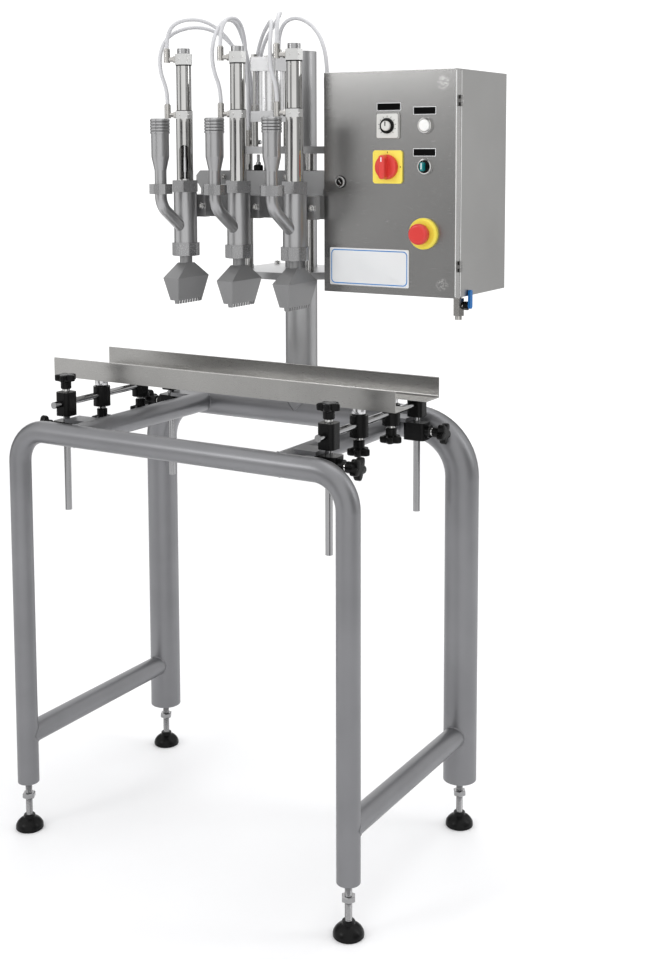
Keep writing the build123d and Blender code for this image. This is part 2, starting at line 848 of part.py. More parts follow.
# Air tubes: free arches from the heads' fittings to the manifolds, and one to the box
air_routes = {
    "head 1 top": [
        (-162.8, -77, 1635.3), (-162.8, -77, 1666), (-148, -63, 1693), (-112, -29, 1699),
        (-82, 3, 1676), (-64, 29, 1636), (-58, 40, 1590), (-60, 41, 1545),
        (-59, 40, 1505), (-59, 40, 1469.3),
    ],
    "head 1 middle": [
        (-162.8, -77, 1522.3), (-162.8, -77, 1552), (-176, -84, 1590), (-180, -78, 1632),
        (-173, -56, 1668), (-138, -20, 1686), (-98, 8, 1676), (-74, 39, 1645),
        (-59, 54, 1600), (-52, 58, 1555), (-50, 57, 1510), (-50, 57, 1469.3),
    ],
    "head 2 top": [
        (-28.8, -77, 1635.3), (-28.8, -77, 1666), (-28, -57, 1694), (-30, -13, 1697),
        (-36, 17, 1672), (-42, 34, 1630), (-43, 41, 1580), (-42, 40, 1525),
        (-42, 40, 1469.3),
    ],
    "head 2 middle": [
        (-28.8, -77, 1522.3), (-28.8, -77, 1552), (-43, -84, 1592), (-47, -81, 1636),
        (-47, -62, 1674), (-51, -22, 1697), (-56, 20, 1692), (-61, 52, 1660),
        (-60, 69, 1615), (-55, 73, 1565), (-55, 73, 1522.3),
    ],
    "head 3 middle": [
        (105.2, -77, 1522.3), (105.2, -77, 1552), (94, -83, 1590), (91, -80, 1634),
        (82, -60, 1670), (54, -16, 1690), (20, 25, 1686), (-16, 57, 1668),
        (-41, 72, 1626), (-43, 74, 1580), (-40, 73, 1550), (-40, 73, 1522.3),
    ],
    "head 3 top": [
        (105.2, -77, 1635.3), (105.2, -77, 1666), (98, -58, 1695), (74, -14, 1703),
        (40, 32, 1698), (4, 64, 1682), (-32, 84, 1650), (-47, 89, 1604),
        (-47, 86, 1560), (-47, 86, 1522.3),
    ],
    "box feed": [
        (8, 82, 1637.3), (8, 82, 1667), (26, 77, 1695), (64, 64, 1701),
        (108, 48, 1684), (140, 36, 1652), (156, 30, 1608), (156, 30, 1574.3),
    ],
}


def air_tube(name, points):
    corners = [Vector(*p) for p in points]
    radii = []
    for a, b, c in zip(corners, corners[1:], corners[2:]):
        turn = math.radians((b - a).get_angle(c - b))
        radii.append(bend_share * min((b - a).length, (c - b).length) / math.tan(turn / 2))
    path = FilletPolyline(*corners, radius=radii)
    print(name, "length", round(path.length), "least radius", round(min(radii)))
    return sweep(Plane(origin=path @ 0, z_dir=path % 0) * Circle(air_tube_r), path=path)


save("air_tubes", *[air_tube(name, points) for name, points in air_routes.items()])


# Control box: a folded shell with a front flange, its hinge leaves, and the panel inside
def box_shell():
    outer = block(box_x0, box_x1, shell_y0, box_y1, box_z0, box_z1)
    inner = block(
        box_x0 + sheet, box_x1 - sheet, shell_y0 + sheet, box_y1 - sheet, box_z0 + sheet, box_z1 - sheet
    )
    mouth = block(
        box_x0 + box_flange,
        box_x1 - box_flange,
        shell_y0 - 1,
        shell_y0 + 2 * sheet,
        box_z0 + box_flange,
        box_z1 - box_flange,
    )
    shell = outer - inner - mouth
    shell -= rod_z(valve_hole_r, box_z0 - 1, box_z0 + 2 * sheet, inlet_valve_x, lever_y)
    shell -= rod_x(box_port_hole_r, box_x0 - 1, box_x0 + 2 * sheet, box_port_y, box_port_z)
    for z in hinge_zs:
        for z0 in (z - hinge_len, z + hinge_len):
            leaf = block(box_x1, hinge_x, hinge_y, hinge_y + hinge_leaf, z0, z0 + hinge_len)
            shell += leaf + rod_z(hinge_r, z0, z0 + hinge_len, hinge_x, hinge_y)
        shell += rod_z(hinge_pin_r, z - hinge_len, z + 2 * hinge_len, hinge_x, hinge_y)
    return shell


def box_internals():
    y1 = box_y1 - sheet
    x0 = box_x0 + back_plate_inset
    x1 = box_x1 - back_plate_inset
    z0 = box_z0 + back_plate_inset
    z1 = box_z1 - back_plate_inset
    plate_y1 = y1 - back_plate_gap
    plate_y0 = plate_y1 - back_plate_t
    pieces = [block(x0, x1, plate_y0, plate_y1, z0, z1)]
    for x in (x0 + spacer_inset, x1 - spacer_inset):
        for z in (z0 + spacer_inset, z1 - spacer_inset):
            pieces.append(rod_y(spacer_r, plate_y1, y1, x, z))
    rail_z = box_z0 + rail_share * box_h
    rail_y0 = plate_y0 - rail_d
    pieces.append(
        block(x0 + rail_inset, x1 - rail_inset, rail_y0, plate_y0, rail_z - rail_half, rail_z + rail_half)
    )
    for i in range(relay_count):
        relay_x = x0 + relay_inset + i * (relay_w + relay_gap)
        pieces.append(
            block(
                relay_x,
                relay_x + relay_w,
                plate_y0 - relay_d,
                rail_y0,
                rail_z - relay_half,
                rail_z + relay_half,
            )
        )
    bank_z = box_z0 + bank_share * box_h
    pieces.append(
        block(
            x0 + bank_left,
            x1 - bank_right,
            plate_y0 - bank_d,
            plate_y0,
            bank_z - bank_half,
            bank_z + bank_half,
        )
    )
    return pieces


def inlet_valve():
    x = inlet_valve_x
    y = lever_y
    z0 = box_z0 - valve_len
    body = rod_z(valve_neck_r, z0, box_z0, x, y)
    body += prism_z(hexagon(2 * valve_r), z0 + valve_hex_low, box_z0 - valve_hex_top, x, y)
    body += rod_x(valve_stem_r, x, box_x1 + lever_gap, y, lever_z)
    return body - rod_z(valve_port_r, z0 - 1, z0 + valve_port_d, x, y)


save("box_shell", box_shell())
save("box_internals", *box_internals())
save("inlet_valve", inlet_valve())
lever_x1 = lever_x0 + lever_t
lever = block(
    lever_x0, lever_x1, lever_y - lever_w / 2, lever_y + lever_w / 2, lever_z, lever_z + lever_l
)
lever += rod_x(lever_w / 2, lever_x0, lever_x1, lever_y, lever_z)
lever += rod_x(lever_w / 2, lever_x0, lever_x1, lever_y, lever_z + lever_l)
save("valve_lever", lever)


# Door and its controls
def on_door(xz):
    return box_x0 + xz[0], box_z0 + xz[1]


def door_pocket(side, xz):
    x, z = on_door(xz)
    return block(x - side / 2, x + side / 2, box_y0 - 1, box_y0 + 3 * sheet, z - side / 2, z + side / 2)


def door_bore(r, xz):
    x, z = on_door(xz)
    return rod_y(r, box_y0 - 1, box_y0 + 3 * sheet, x, z)


def door():
    y1 = shell_y0 - door_gap
    panel = block(box_x0, box_x1, box_y0, y1, box_z0, box_z1)
    panel -= block(
        box_x0 + sheet, box_x1 - sheet, box_y0 + sheet, y1 + 1, box_z0 + sheet, box_z1 - sheet
    )
    panel -= door_pocket(timer_body_side + 2 * touch_gap, timer_xz)
    panel -= door_pocket(switch_body_side + 2 * touch_gap, switch_xz)
    for xz in (lamp_xz, selector_xz):
        panel -= door_bore(bezel_body_r + slip_fit, xz)
    panel -= door_bore(estop_bore_r + slip_fit, estop_xz)
    panel -= door_bore(lock_r + run_fit, lock_xz)
    for z in hinge_zs:
        knuckle = rod_z(hinge_r, z + touch_gap, z + hinge_len - touch_gap, hinge_x, hinge_y)
        tab = block(
            box_x1 - sheet, hinge_x, hinge_y - hinge_r, hinge_y, z + touch_gap, z + hinge_len - touch_gap
        )
        panel += knuckle + tab
        panel -= rod_z(hinge_pin_r + run_fit, z - 1, z + hinge_len + 1, hinge_x, hinge_y)
    return panel


def bezel(xz):
    x, z = on_door(xz)
    ring = rod_y(bezel_r, box_y0 - bezel_t, box_y0, x, z)
    ring += rod_y(bezel_body_r, box_y0, box_y0 + bezel_body_d, x, z)
    return ring - rod_y(lens_r, box_y0 - bezel_t - 1, box_y0 - lens_seat, x, z)


def timer_housing():
    x, z = on_door(timer_xz)
    half = timer_side / 2
    inner = timer_body_side / 2
    front = block(x - half, x + half, box_y0 - timer_bezel_t, box_y0, z - half, z + half)
    front = fillet(front.edges().filter_by(Axis.Y), timer_round)
    body = block(x - inner, x + inner, box_y0, box_y0 + timer_body_d, z - inner, z + inner)
    hole = rod_y(dial_shaft_r + run_fit, box_y0 - timer_bezel_t - 1, box_y0 + dial_hole_d, x, z)
    return front + body - hole


def switch_housing():
    x, z = on_door(switch_xz)
    inner = switch_body_side / 2
    body = block(x - inner, x + inner, box_y0, box_y0 + switch_body_d, z - inner, z + inner)
    return body - rod_y(switch_shaft_r + run_fit, box_y0 - 1, box_y0 + switch_hole_d, x, z)


def estop_housing():
    x, z = on_door(estop_xz)
    body = rod_y(estop_bore_r, box_y0 + sheet, box_y0 + bezel_body_d, x, z)
    shaft_end = box_y0 + bezel_body_d - estop_floor
    return body - rod_y(estop_shaft_r + run_fit, box_y0, shaft_end, x, z)


def switch_plate():
    x, z = on_door(switch_xz)
    half = switch_plate_side / 2
    plate = block(x - half, x + half, box_y0 - switch_plate_t, box_y0, z - half, z + half)
    plate = fillet(plate.edges().filter_by(Axis.Y), switch_plate_round)
    return plate - rod_y(switch_shaft_r + run_fit, box_y0 - switch_plate_t - 1, box_y0 + 1, x, z)


def estop_ring():
    x, z = on_door(estop_xz)
    ring = rod_y(estop_ring_r, box_y0 - estop_ring_t, box_y0, x, z)
    ring = chamfer(ring.edges().filter_by(GeomType.CIRCLE).group_by(Axis.Y)[0], estop_ring_cut)
    return ring - rod_y(estop_shaft_r + run_fit, box_y0 - estop_ring_t - 1, box_y0 + 1, x, z)


def pilot_lens():
    x, z = on_door(lamp_xz)
    lens = rod_y(lens_r - slip_fit, box_y0 - lens_t, box_y0 - lens_seat, x, z)
    return fillet(lens.edges().filter_by(GeomType.CIRCLE).group_by(Axis.Y)[0], lens_round)


def timer_dial():
    x, z = on_door(timer_xz)
    y1 = box_y0 - timer_bezel_t - touch_gap
    face_y = y1 - dial_t / 2
    dial = rod_y(dial_r, face_y, y1, x, z)
    grip = rod_y(dial_grip_r, y1 - dial_t, face_y, x, z)
    pointer = block(x - pointer_half, x + pointer_half, face_y - pointer_h, face_y, z, z + dial_r)
    return dial + grip + pointer + rod_y(dial_shaft_r, y1, box_y0 + dial_hole_d - 1, x, z)


def switch_knob():
    x, z = on_door(switch_xz)
    y1 = box_y0 - switch_plate_t - touch_gap
    hub = rod_y(switch_hub_r, y1 - switch_hub_t, y1, x, z)
    grip = block(
        x - switch_grip_w / 2,
        x + switch_grip_w / 2,
        y1 - switch_hub_t - switch_grip_t,
        y1 - switch_hub_t,
        z - switch_hub_r + switch_grip_short,
        z + switch_hub_r - switch_grip_short,
    )
    grip = fillet(grip.edges().filter_by(Axis.Y), switch_grip_round)
    return hub + grip + rod_y(switch_shaft_r, y1, box_y0 + switch_hole_d - 1, x, z)


def selector_knob():
    x, z = on_door(selector_xz)
    y1 = box_y0 - lens_seat - touch_gap
    hub_y0 = y1 - selector_t / 2
    half = selector_grip_w / 2
    reach = selector_r - selector_grip_short
    hub = rod_y(selector_r, hub_y0, y1, x, z)
    grip = block(x - half, x + half, y1 - selector_t - selector_grip_out, hub_y0, z - reach, z + reach)
    return hub + fillet(grip.edges().filter_by(Axis.Y), selector_round)


def estop_button():
    x, z = on_door(estop_xz)
    y1 = box_y0 - estop_ring_t - estop_stand
    head = rod_y(estop_head_r, y1 - estop_head_t, y1, x, z)
    circles = head.edges().filter_by(GeomType.CIRCLE).group_by(Axis.Y)
    head = fillet(circles[0], estop_head_round)
    shaft_end = box_y0 + bezel_body_d - estop_floor - estop_travel - estop_clear
    return head + rod_y(estop_shaft_r, y1, shaft_end, x, z)


def door_lock():
    x, z = on_door(lock_xz)
    y0 = box_y0 - touch_gap
    lock = rod_y(lock_head_r, y0 - lock_head_t, y0, x, z) + rod_y(lock_r, y0, y0 + lock_reach, x, z)
    slot_y1 = y0 - lock_head_t + key_slot_d
    lock -= block(
        x - key_slot_half_l,
        x + key_slot_half_l,
        y0 - lock_head_t - 1,
        slot_y1,
        z - key_slot_half_w,
        z + key_slot_half_w,
    )
    y1 = y0 + lock_reach
    return lock + block(x - cam_w / 2, x + cam_w / 2, y1 - cam_t, y1, z, z + cam_l)


save("door", door())
save(
    "panel_housings", timer_housing(), switch_housing(), estop_housing(), bezel(lamp_xz), bezel(selector_xz)
)
save("pilot_lamp", pilot_lens())
save("yellow_plates", switch_plate(), estop_ring())
save("timer_dial", timer_dial())
save("switch_knob", switch_knob())
save("selector_knob", selector_knob())
save("estop_button", estop_button())
save("door_lock", door_lock())


# Guide supports: rods and clamps at the four corners
def corner_y(side):
    return stand_mid_y + side * support_y


def frame_clamp(side_x, side_y):
    x = side_x * support_x
    y = corner_y(side_y)
    half = frame_clamp_half
    half_w = frame_clamp_w / 2
    body = block(x - half, x + half, y - half_w, y + half_w, frame_clamp_z0, frame_clamp_z1)
    body = fillet(body.edges().filter_by(Axis.Z), frame_clamp_round)
    a = x + side_x * half
    b = a + side_x * frame_clamp_boss_l
    body += rod_x(frame_clamp_boss_r, min(a, b), max(a, b), y, frame_knob_z)
    body -= rod_z(support_rod_r + run_fit, frame_clamp_z0 - 1, frame_clamp_z1 + 1, x, y)
    return body - rod_x(knob_stud_r + run_fit, min(x, b), max(x, b), y, frame_knob_z)


def cross_clamp(side_x, side_y):
    x = side_x * support_x
    y = corner_y(side_y)
    square = fillet(Rectangle(cross_clamp_side, cross_clamp_side).vertices(), cross_clamp_round)
    body = prism_z(square, cross_clamp_z0, cross_clamp_z1, x, y)
    body -= rod_z(support_rod_r + run_fit, cross_clamp_z0 - 1, rod_seat_z, x, y)
    body -= rod_y(support_rod_r + run_fit, y - cross_clamp_side, y + cross_clamp_side, x, cross_rod_z)
    if side_y < 0:
        body -= rod_z(knob_stud_r + run_fit, cross_rod_z, cross_clamp_z1 + 1, x, y)
    return body


def guide_clamp(side_x, side_y):
    x = side_x * support_x
    y = stand_mid_y + side_y * guide_clamp_y
    body = rod_z(guide_clamp_r, guide_clamp_z0, guide_clamp_z1, x, y)
    body += rod_z(guide_stub_r, guide_clamp_z1, guide_z0, x, y)
    body -= rod_y(support_rod_r + run_fit, y - 2 * guide_clamp_r, y + 2 * guide_clamp_r, x, cross_rod_z)
    return body - rod_z(knob_stud_r + run_fit, guide_clamp_z0 - 1, cross_rod_z, x, y)


def guide(side_y):
    web = block(
        -guide_half, guide_half, guide_web_y - guide_t, guide_web_y, guide_z0, guide_z0 + guide_web_h
    )
    flange = block(
        -guide_half, guide_half, guide_web_y - guide_flange_w, guide_web_y, guide_z0, guide_z0 + guide_t
    )
    angle = web + flange
    if side_y < 0:
        angle = Rot(0, 0, 180) * angle
    return Pos(guide_mid_x, stand_mid_y, 0) * angle


sides = [(-1, -1), (1, -1), (-1, 1), (1, 1)]
cross_rod_ends = (corner_y(-1) - cross_rod_front_end, corner_y(1) + cross_rod_back_end)
save("frame_clamps", *[frame_clamp(sx, sy) for sx, sy in sides])
save(
    "guide_support_rods",
    *[rod_z(support_rod_r, support_rod_z0, rod_seat_z, sx * support_x, corner_y(sy)) for sx, sy in sides],
    *[rod_y(support_rod_r, *cross_rod_ends, sx * support_x, cross_rod_z) for sx in (-1, 1)],
)
save("cross_clamps", *[cross_clamp(sx, sy) for sx, sy in sides])
save("front_guide", guide(-1))
save("rear_guide", guide(1))
save("front_guide_clamps", guide_clamp(-1, -1), guide_clamp(1, -1))
save("rear_guide_clamps", guide_clamp(-1, 1), guide_clamp(1, 1))


# Star knob along +Z: stud below the seat, bright neck, hub and lobed head
def star_knob(stud_l):
    z = touch_gap
    knob = rod_z(knob_stud_r, -stud_l, z)
    knob += rod_z(knob_neck_r, z, z + knob_neck_h)
    knob += rod_z(knob_hub_r, z + knob_neck_h, z + knob_neck_h + knob_hub_h)
    star = Circle(knob_head_r) + PolarLocations(knob_lobe_out, knob_lobes) * Circle(knob_lobe_r)
    z_head = z + knob_neck_h + knob_hub_h
    return knob + prism_z(star, z_head, z_head + knob_head_h)


frame_stud = frame_clamp_half + frame_clamp_boss_l - support_rod_r - touch_gap
top_stud = cross_clamp_z1 - cross_rod_z - support_rod_r - touch_gap
under_stud = cross_rod_z - support_rod_r - guide_clamp_z0 - touch_gap
corner_names = ("front_left", "front_right", "rear_left", "rear_right")
for corner, (sx, sy) in zip(corner_names, sides):
    seat_x = sx * (support_x + frame_clamp_half + frame_clamp_boss_l)
    place = Pos(seat_x, corner_y(sy), frame_knob_z) * Rot(0, sx * 90, 0)
    save(f"height_knob_{corner}", place * star_knob(frame_stud))
    under = Pos(sx * support_x, stand_mid_y + sy * guide_clamp_y, guide_clamp_z0) * Rot(180, 0, 0)
    save(f"width_knob_{corner}", under * star_knob(under_stud))
    if sy < 0:
        top = Pos(sx * support_x, corner_y(sy), cross_clamp_z1)
        save(f"cross_knob_{corner}", top * star_knob(top_stud))
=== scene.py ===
import bpy
import bmesh
import math
from mathutils import Matrix, Vector


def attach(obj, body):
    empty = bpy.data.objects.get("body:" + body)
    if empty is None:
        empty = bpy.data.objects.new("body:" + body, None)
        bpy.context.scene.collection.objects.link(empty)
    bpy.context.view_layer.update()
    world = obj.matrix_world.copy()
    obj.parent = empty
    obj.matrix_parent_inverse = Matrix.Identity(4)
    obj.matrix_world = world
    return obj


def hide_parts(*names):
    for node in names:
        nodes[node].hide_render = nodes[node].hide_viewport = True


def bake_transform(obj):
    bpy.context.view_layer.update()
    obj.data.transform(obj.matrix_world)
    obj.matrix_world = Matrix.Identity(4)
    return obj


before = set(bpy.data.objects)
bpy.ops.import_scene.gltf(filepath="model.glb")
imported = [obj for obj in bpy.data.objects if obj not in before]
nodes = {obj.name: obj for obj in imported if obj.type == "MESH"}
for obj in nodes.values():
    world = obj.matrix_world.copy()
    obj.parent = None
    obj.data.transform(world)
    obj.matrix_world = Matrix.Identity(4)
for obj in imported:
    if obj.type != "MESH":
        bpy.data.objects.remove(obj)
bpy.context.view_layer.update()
print("frame loaded:", len(nodes), "nodes")

mm = 0.001
shiftX = -20.5  # places below are as drawn in the CAD, which is saved moved by this much
shiftY = 41.5
legX = 390.0
standMidY = -57.0
standHalfY = 237.0
frontY = standMidY - standHalfY
postY = standMidY + standHalfY
headY = postY - 239.0
headXs = (-134.0, 0.0, 134.0)
blockZs = (1502.0, 1615.0)  # middle and top end block of a head
clampX = 315.0  # clamps of the guides, from the stand's middle
clampY = 65.0
supportY = 177.0
boxFront = (170.0, postY - 185.5, 1148.0)  # lower left front corner of the door
boxWidth = 289.0
boxHeight = 433.0
corners = {"front_left": (-1, -1), "front_right": (1, -1), "rear_left": (-1, 1), "rear_right": (1, 1)}

# Camera and light

cameraView = {
    "place": (1553.9, -2321.9, 1430.4),
    "azimuth": 30.898,
    "pitch": 5.854,
    "roll": -0.151,
    "lens": 50.655,
    "sensor": 36,
    "shiftY": -0.2,
}


def inFrame(point):
    return Vector(((point[0] + shiftX) * mm, (point[1] + shiftY) * mm, point[2] * mm))


def placeCamera(view):
    a = math.radians(view["azimuth"])
    t = math.radians(view["pitch"])
    r = math.radians(view["roll"])
    ahead = Vector((-math.sin(a) * math.cos(t), math.cos(a) * math.cos(t), -math.sin(t)))
    right = Vector((math.cos(a), math.sin(a), 0))
    up = right.cross(ahead)
    right, up = math.cos(r) * right + math.sin(r) * up, math.cos(r) * up - math.sin(r) * right
    data = bpy.data.cameras.new("photoCamera")
    data.sensor_width = view["sensor"]
    data.lens = view["lens"]
    data.shift_y = view["shiftY"]
    camera = bpy.data.objects.new("photoCamera", data)
    bpy.context.collection.objects.link(camera)
    turn = Matrix((right, up, -ahead)).transposed().to_4x4()
    camera.matrix_world = Matrix.Translation(inFrame(view["place"])) @ turn
    bpy.context.scene.camera = camera


studio = {
    "power": 1.2,
    "bands": [  # direction round the object in degrees, grey level: soft stripes for bright cylinders
        (-180, 0.2), (-166, 0.9), (-142, 0.9), (-127, 0.84), (-121, 0.56), (-115, 0.28), (-106, 0.15),
        (-88, 0.95), (-36, 1.0), (-20, 0.3), (12, 0.24), (30, 0.75), (70, 0.85), (82, 0.2), (102, 0.22),
        (114, 1.0), (140, 1.0), (152, 0.2), (180, 0.2),
    ],
    "lid": (0.4, 0.8),  # the bands fade to white between these heights
    "lamps": [  # name, place, aimed at, width, height, watts
        ("keyLamp", (-1.5, -2.95, 2.3), (0.2, 0, 1.4), 0.8, 0.8, 16),
        ("sideLamp", (2.9, 1.3, 2.2), (0.2, 0, 1.0), 0.7, 2.4, 14),
        ("topLamp", (0.3, 0.6, 3.4), (0, 0, 1.0), 2.0, 1.6, 14),
    ],
}


def toWhite(tree, colour, share):
    mix = tree.nodes.new("ShaderNodeMixRGB")
    mix.inputs["Color2"].default_value = (1, 1, 1, 1)
    tree.links.new(share, mix.inputs["Fac"])
    tree.links.new(colour, mix.inputs["Color1"])
    return mix.outputs["Color"]


def bandedWorld(s):
    world = bpy.data.worlds.new("studioWorld")
    world.use_nodes = True
    tree = world.node_tree
    background = tree.nodes["Background"]
    background.inputs["Strength"].default_value = s["power"]
    coords = tree.nodes.new("ShaderNodeTexCoord")
    parts = tree.nodes.new("ShaderNodeSeparateXYZ")
    tree.links.new(coords.outputs["Generated"], parts.inputs["Vector"])
    turn = tree.nodes.new("ShaderNodeMath")
    turn.operation = "ARCTAN2"
    tree.links.new(parts.outputs["Y"], turn.inputs[0])
    tree.links.new(parts.outputs["X"], turn.inputs[1])
    share = tree.nodes.new("ShaderNodeMapRange")
    share.inputs["From Min"].default_value = -math.pi
    share.inputs["From Max"].default_value = math.pi
    tree.links.new(turn.outputs["Value"], share.inputs["Value"])
    ramp = tree.nodes.new("ShaderNodeValToRGB")
    ramp.color_ramp.interpolation = "EASE"
    stops = ramp.color_ramp.elements
    while len(stops) < len(s["bands"]):
        stops.new(0.5)
    for stop, (degrees, level) in zip(stops, s["bands"]):
        stop.position = (degrees + 180) / 360
        stop.color = (level, level, level, 1)
    tree.links.new(share.outputs["Result"], ramp.inputs["Fac"])
    height = tree.nodes.new("ShaderNodeMapRange")
    height.inputs["From Min"].default_value = s["lid"][0]
    height.inputs["From Max"].default_value = s["lid"][1]
    tree.links.new(parts.outputs["Z"], height.inputs["Value"])
    path = tree.nodes.new("ShaderNodeLightPath")
    lit = toWhite(tree, ramp.outputs["Color"], height.outputs["Result"])
    seen = toWhite(tree, lit, path.outputs["Is Camera Ray"])  # the backdrop itself stays plain white
    tree.links.new(seen, background.inputs["Color"])
    return world


def lightStudio(s):
    scene = bpy.context.scene
    scene.view_settings.view_transform = "Standard"
    scene.world = bandedWorld(s)
    for name, place, aim, width, height, watts in s["lamps"]:
        data = bpy.data.lights.new(name, "AREA")
        data.shape = "RECTANGLE"
        data.size = width
        data.size_y = height
        data.energy = watts
        lamp = bpy.data.objects.new(name, data)
        bpy.context.collection.objects.link(lamp)
        lamp.location = place
        lamp.rotation_euler = (Vector(aim) - Vector(place)).to_track_quat("-Z", "Y").to_euler()


placeCamera(cameraView)
lightStudio(studio)
print("camera and light placed")

# Materials: each has its own noise, roughness and bump

shaderInputs = {  # word in a finish: socket, usual value
    "metallic": ("Metallic", 0.0),
    "ior": ("IOR", 1.5),
    "coat": ("Coat Weight", 0.0),
    "transmission": ("Transmission Weight", 0.0),
    "anisotropic": ("Anisotropic", 0.0),
}
coatRoughness = 0.1
bumpDepth = 0.0002
even = (1, 1, 1)
usualCloud = 6.0  # scale of the broad tone noise
broadDetail = 3.0
grind = {"grain": 380.0, "from": 0.48, "to": 0.58, "strength": 0.7, "core": 0.6}  # scratches in a ground spot


def startMaterial(name, look):
    material = bpy.data.materials.new(name)
    material.use_nodes = True
    tree = material.node_tree
    shader = tree.nodes["Principled BSDF"]
    for word, (socket, usual) in shaderInputs.items():
        shader.inputs[socket].default_value = look.get(word, usual)
    shader.inputs["Coat Roughness"].default_value = coatRoughness
    return material, tree, shader


def grainNoise(tree, scale, stretch, detail=4.0):
    coords = tree.nodes.new("ShaderNodeTexCoord")
    mapping = tree.nodes.new("ShaderNodeMapping")
    mapping.inputs["Scale"].default_value = stretch
    noise = tree.nodes.new("ShaderNodeTexNoise")
    noise.inputs["Scale"].default_value = scale
    noise.inputs["Detail"].default_value = detail
    tree.links.new(coords.outputs["Object"], mapping.inputs["Vector"])
    tree.links.new(mapping.outputs["Vector"], noise.inputs["Vector"])
    return noise


def rampBetween(tree, source, low, high, start=0.35, end=0.65):
    ramp = tree.nodes.new("ShaderNodeValToRGB")
    ramp.color_ramp.elements[0].position = start
    ramp.color_ramp.elements[1].position = end
    ramp.color_ramp.elements[0].color = (*low, 1)
    ramp.color_ramp.elements[1].color = (*high, 1)
    tree.links.new(source.outputs["Fac"], ramp.inputs["Fac"])
    return ramp.outputs["Color"]


def fadeBetween(tree, source, low, high):
    # one up to low, nought from high on
    fade = tree.nodes.new("ShaderNodeMapRange")
    fade.inputs["From Min"].default_value = low
    fade.inputs["From Max"].default_value = high
    fade.inputs["To Min"].default_value = 1.0
    fade.inputs["To Max"].default_value = 0.0
    tree.links.new(source, fade.inputs["Value"])
    return fade.outputs["Result"]


def lowEndMask(tree, low, high):
    coords = tree.nodes.new("ShaderNodeTexCoord")
    parts = tree.nodes.new("ShaderNodeSeparateXYZ")
    tree.links.new(coords.outputs["Object"], parts.inputs["Vector"])
    return fadeBetween(tree, parts.outputs["Z"], low * mm, high * mm)


def grindMask(tree, place, radius):
    # round spot of fine scratches that fades out at its rim
    coords = tree.nodes.new("ShaderNodeTexCoord")
    away = tree.nodes.new("ShaderNodeVectorMath")
    away.operation = "DISTANCE"
    away.inputs[1].default_value = inFrame(place)
    tree.links.new(coords.outputs["Object"], away.inputs[0])
    spot = fadeBetween(tree, away.outputs["Value"], grind["core"] * radius * mm, radius * mm)
    grain = grainNoise(tree, grind["grain"], even)
    streaks = rampBetween(tree, grain, (0, 0, 0), (grind["strength"],) * 3, grind["from"], grind["to"])
    both = tree.nodes.new("ShaderNodeMath")
    both.operation = "MULTIPLY"
    tree.links.new(spot, both.inputs[0])
    tree.links.new(streaks, both.inputs[1])
    return both.outputs["Value"]


def mixTone(tree, tone, mask, colour):
    mix = tree.nodes.new("ShaderNodeMixRGB")
    mix.inputs["Color2"].default_value = (*colour, 1)
    tree.links.new(mask, mix.inputs["Fac"])
    tree.links.new(tone, mix.inputs["Color1"])
    return mix.outputs["Color"]


def finishMaterial(name, look):
    material, tree, shader = startMaterial(name, look)
    broad = grainNoise(tree, look.get("cloud", usualCloud), even, broadDetail)
    fine = grainNoise(tree, look["grain"], look.get("stretch", even))
    tone = rampBetween(tree, broad, look["dark"], look["light"])
    if "lowEnd" in look:
        tone = mixTone(tree, tone, lowEndMask(tree, *look["lowEnd"]), look["lowEndTone"])
    for place in look.get("grindMarks", []):
        tone = mixTone(tree, tone, grindMask(tree, place, look["grindRadius"]), look["grindTone"])
    tree.links.new(tone, shader.inputs["Base Color"])
    rough = tree.nodes.new("ShaderNodeMapRange")
    rough.inputs["To Min"].default_value = look["rough"][0]
    rough.inputs["To Max"].default_value = look["rough"][1]
    tree.links.new(fine.outputs["Fac"], rough.inputs["Value"])
    tree.links.new(rough.outputs["Result"], shader.inputs["Roughness"])
    bump = tree.nodes.new("ShaderNodeBump")
    bump.inputs["Strength"].default_value = look["bump"]
    bump.inputs["Distance"].default_value = bumpDepth
    tree.links.new(fine.outputs["Fac"], bump.inputs["Height"])
    tree.links.new(bump.outputs["Normal"], shader.inputs["Normal"])
    return material


def grey(v):
    return (v, v, v * 1.01)


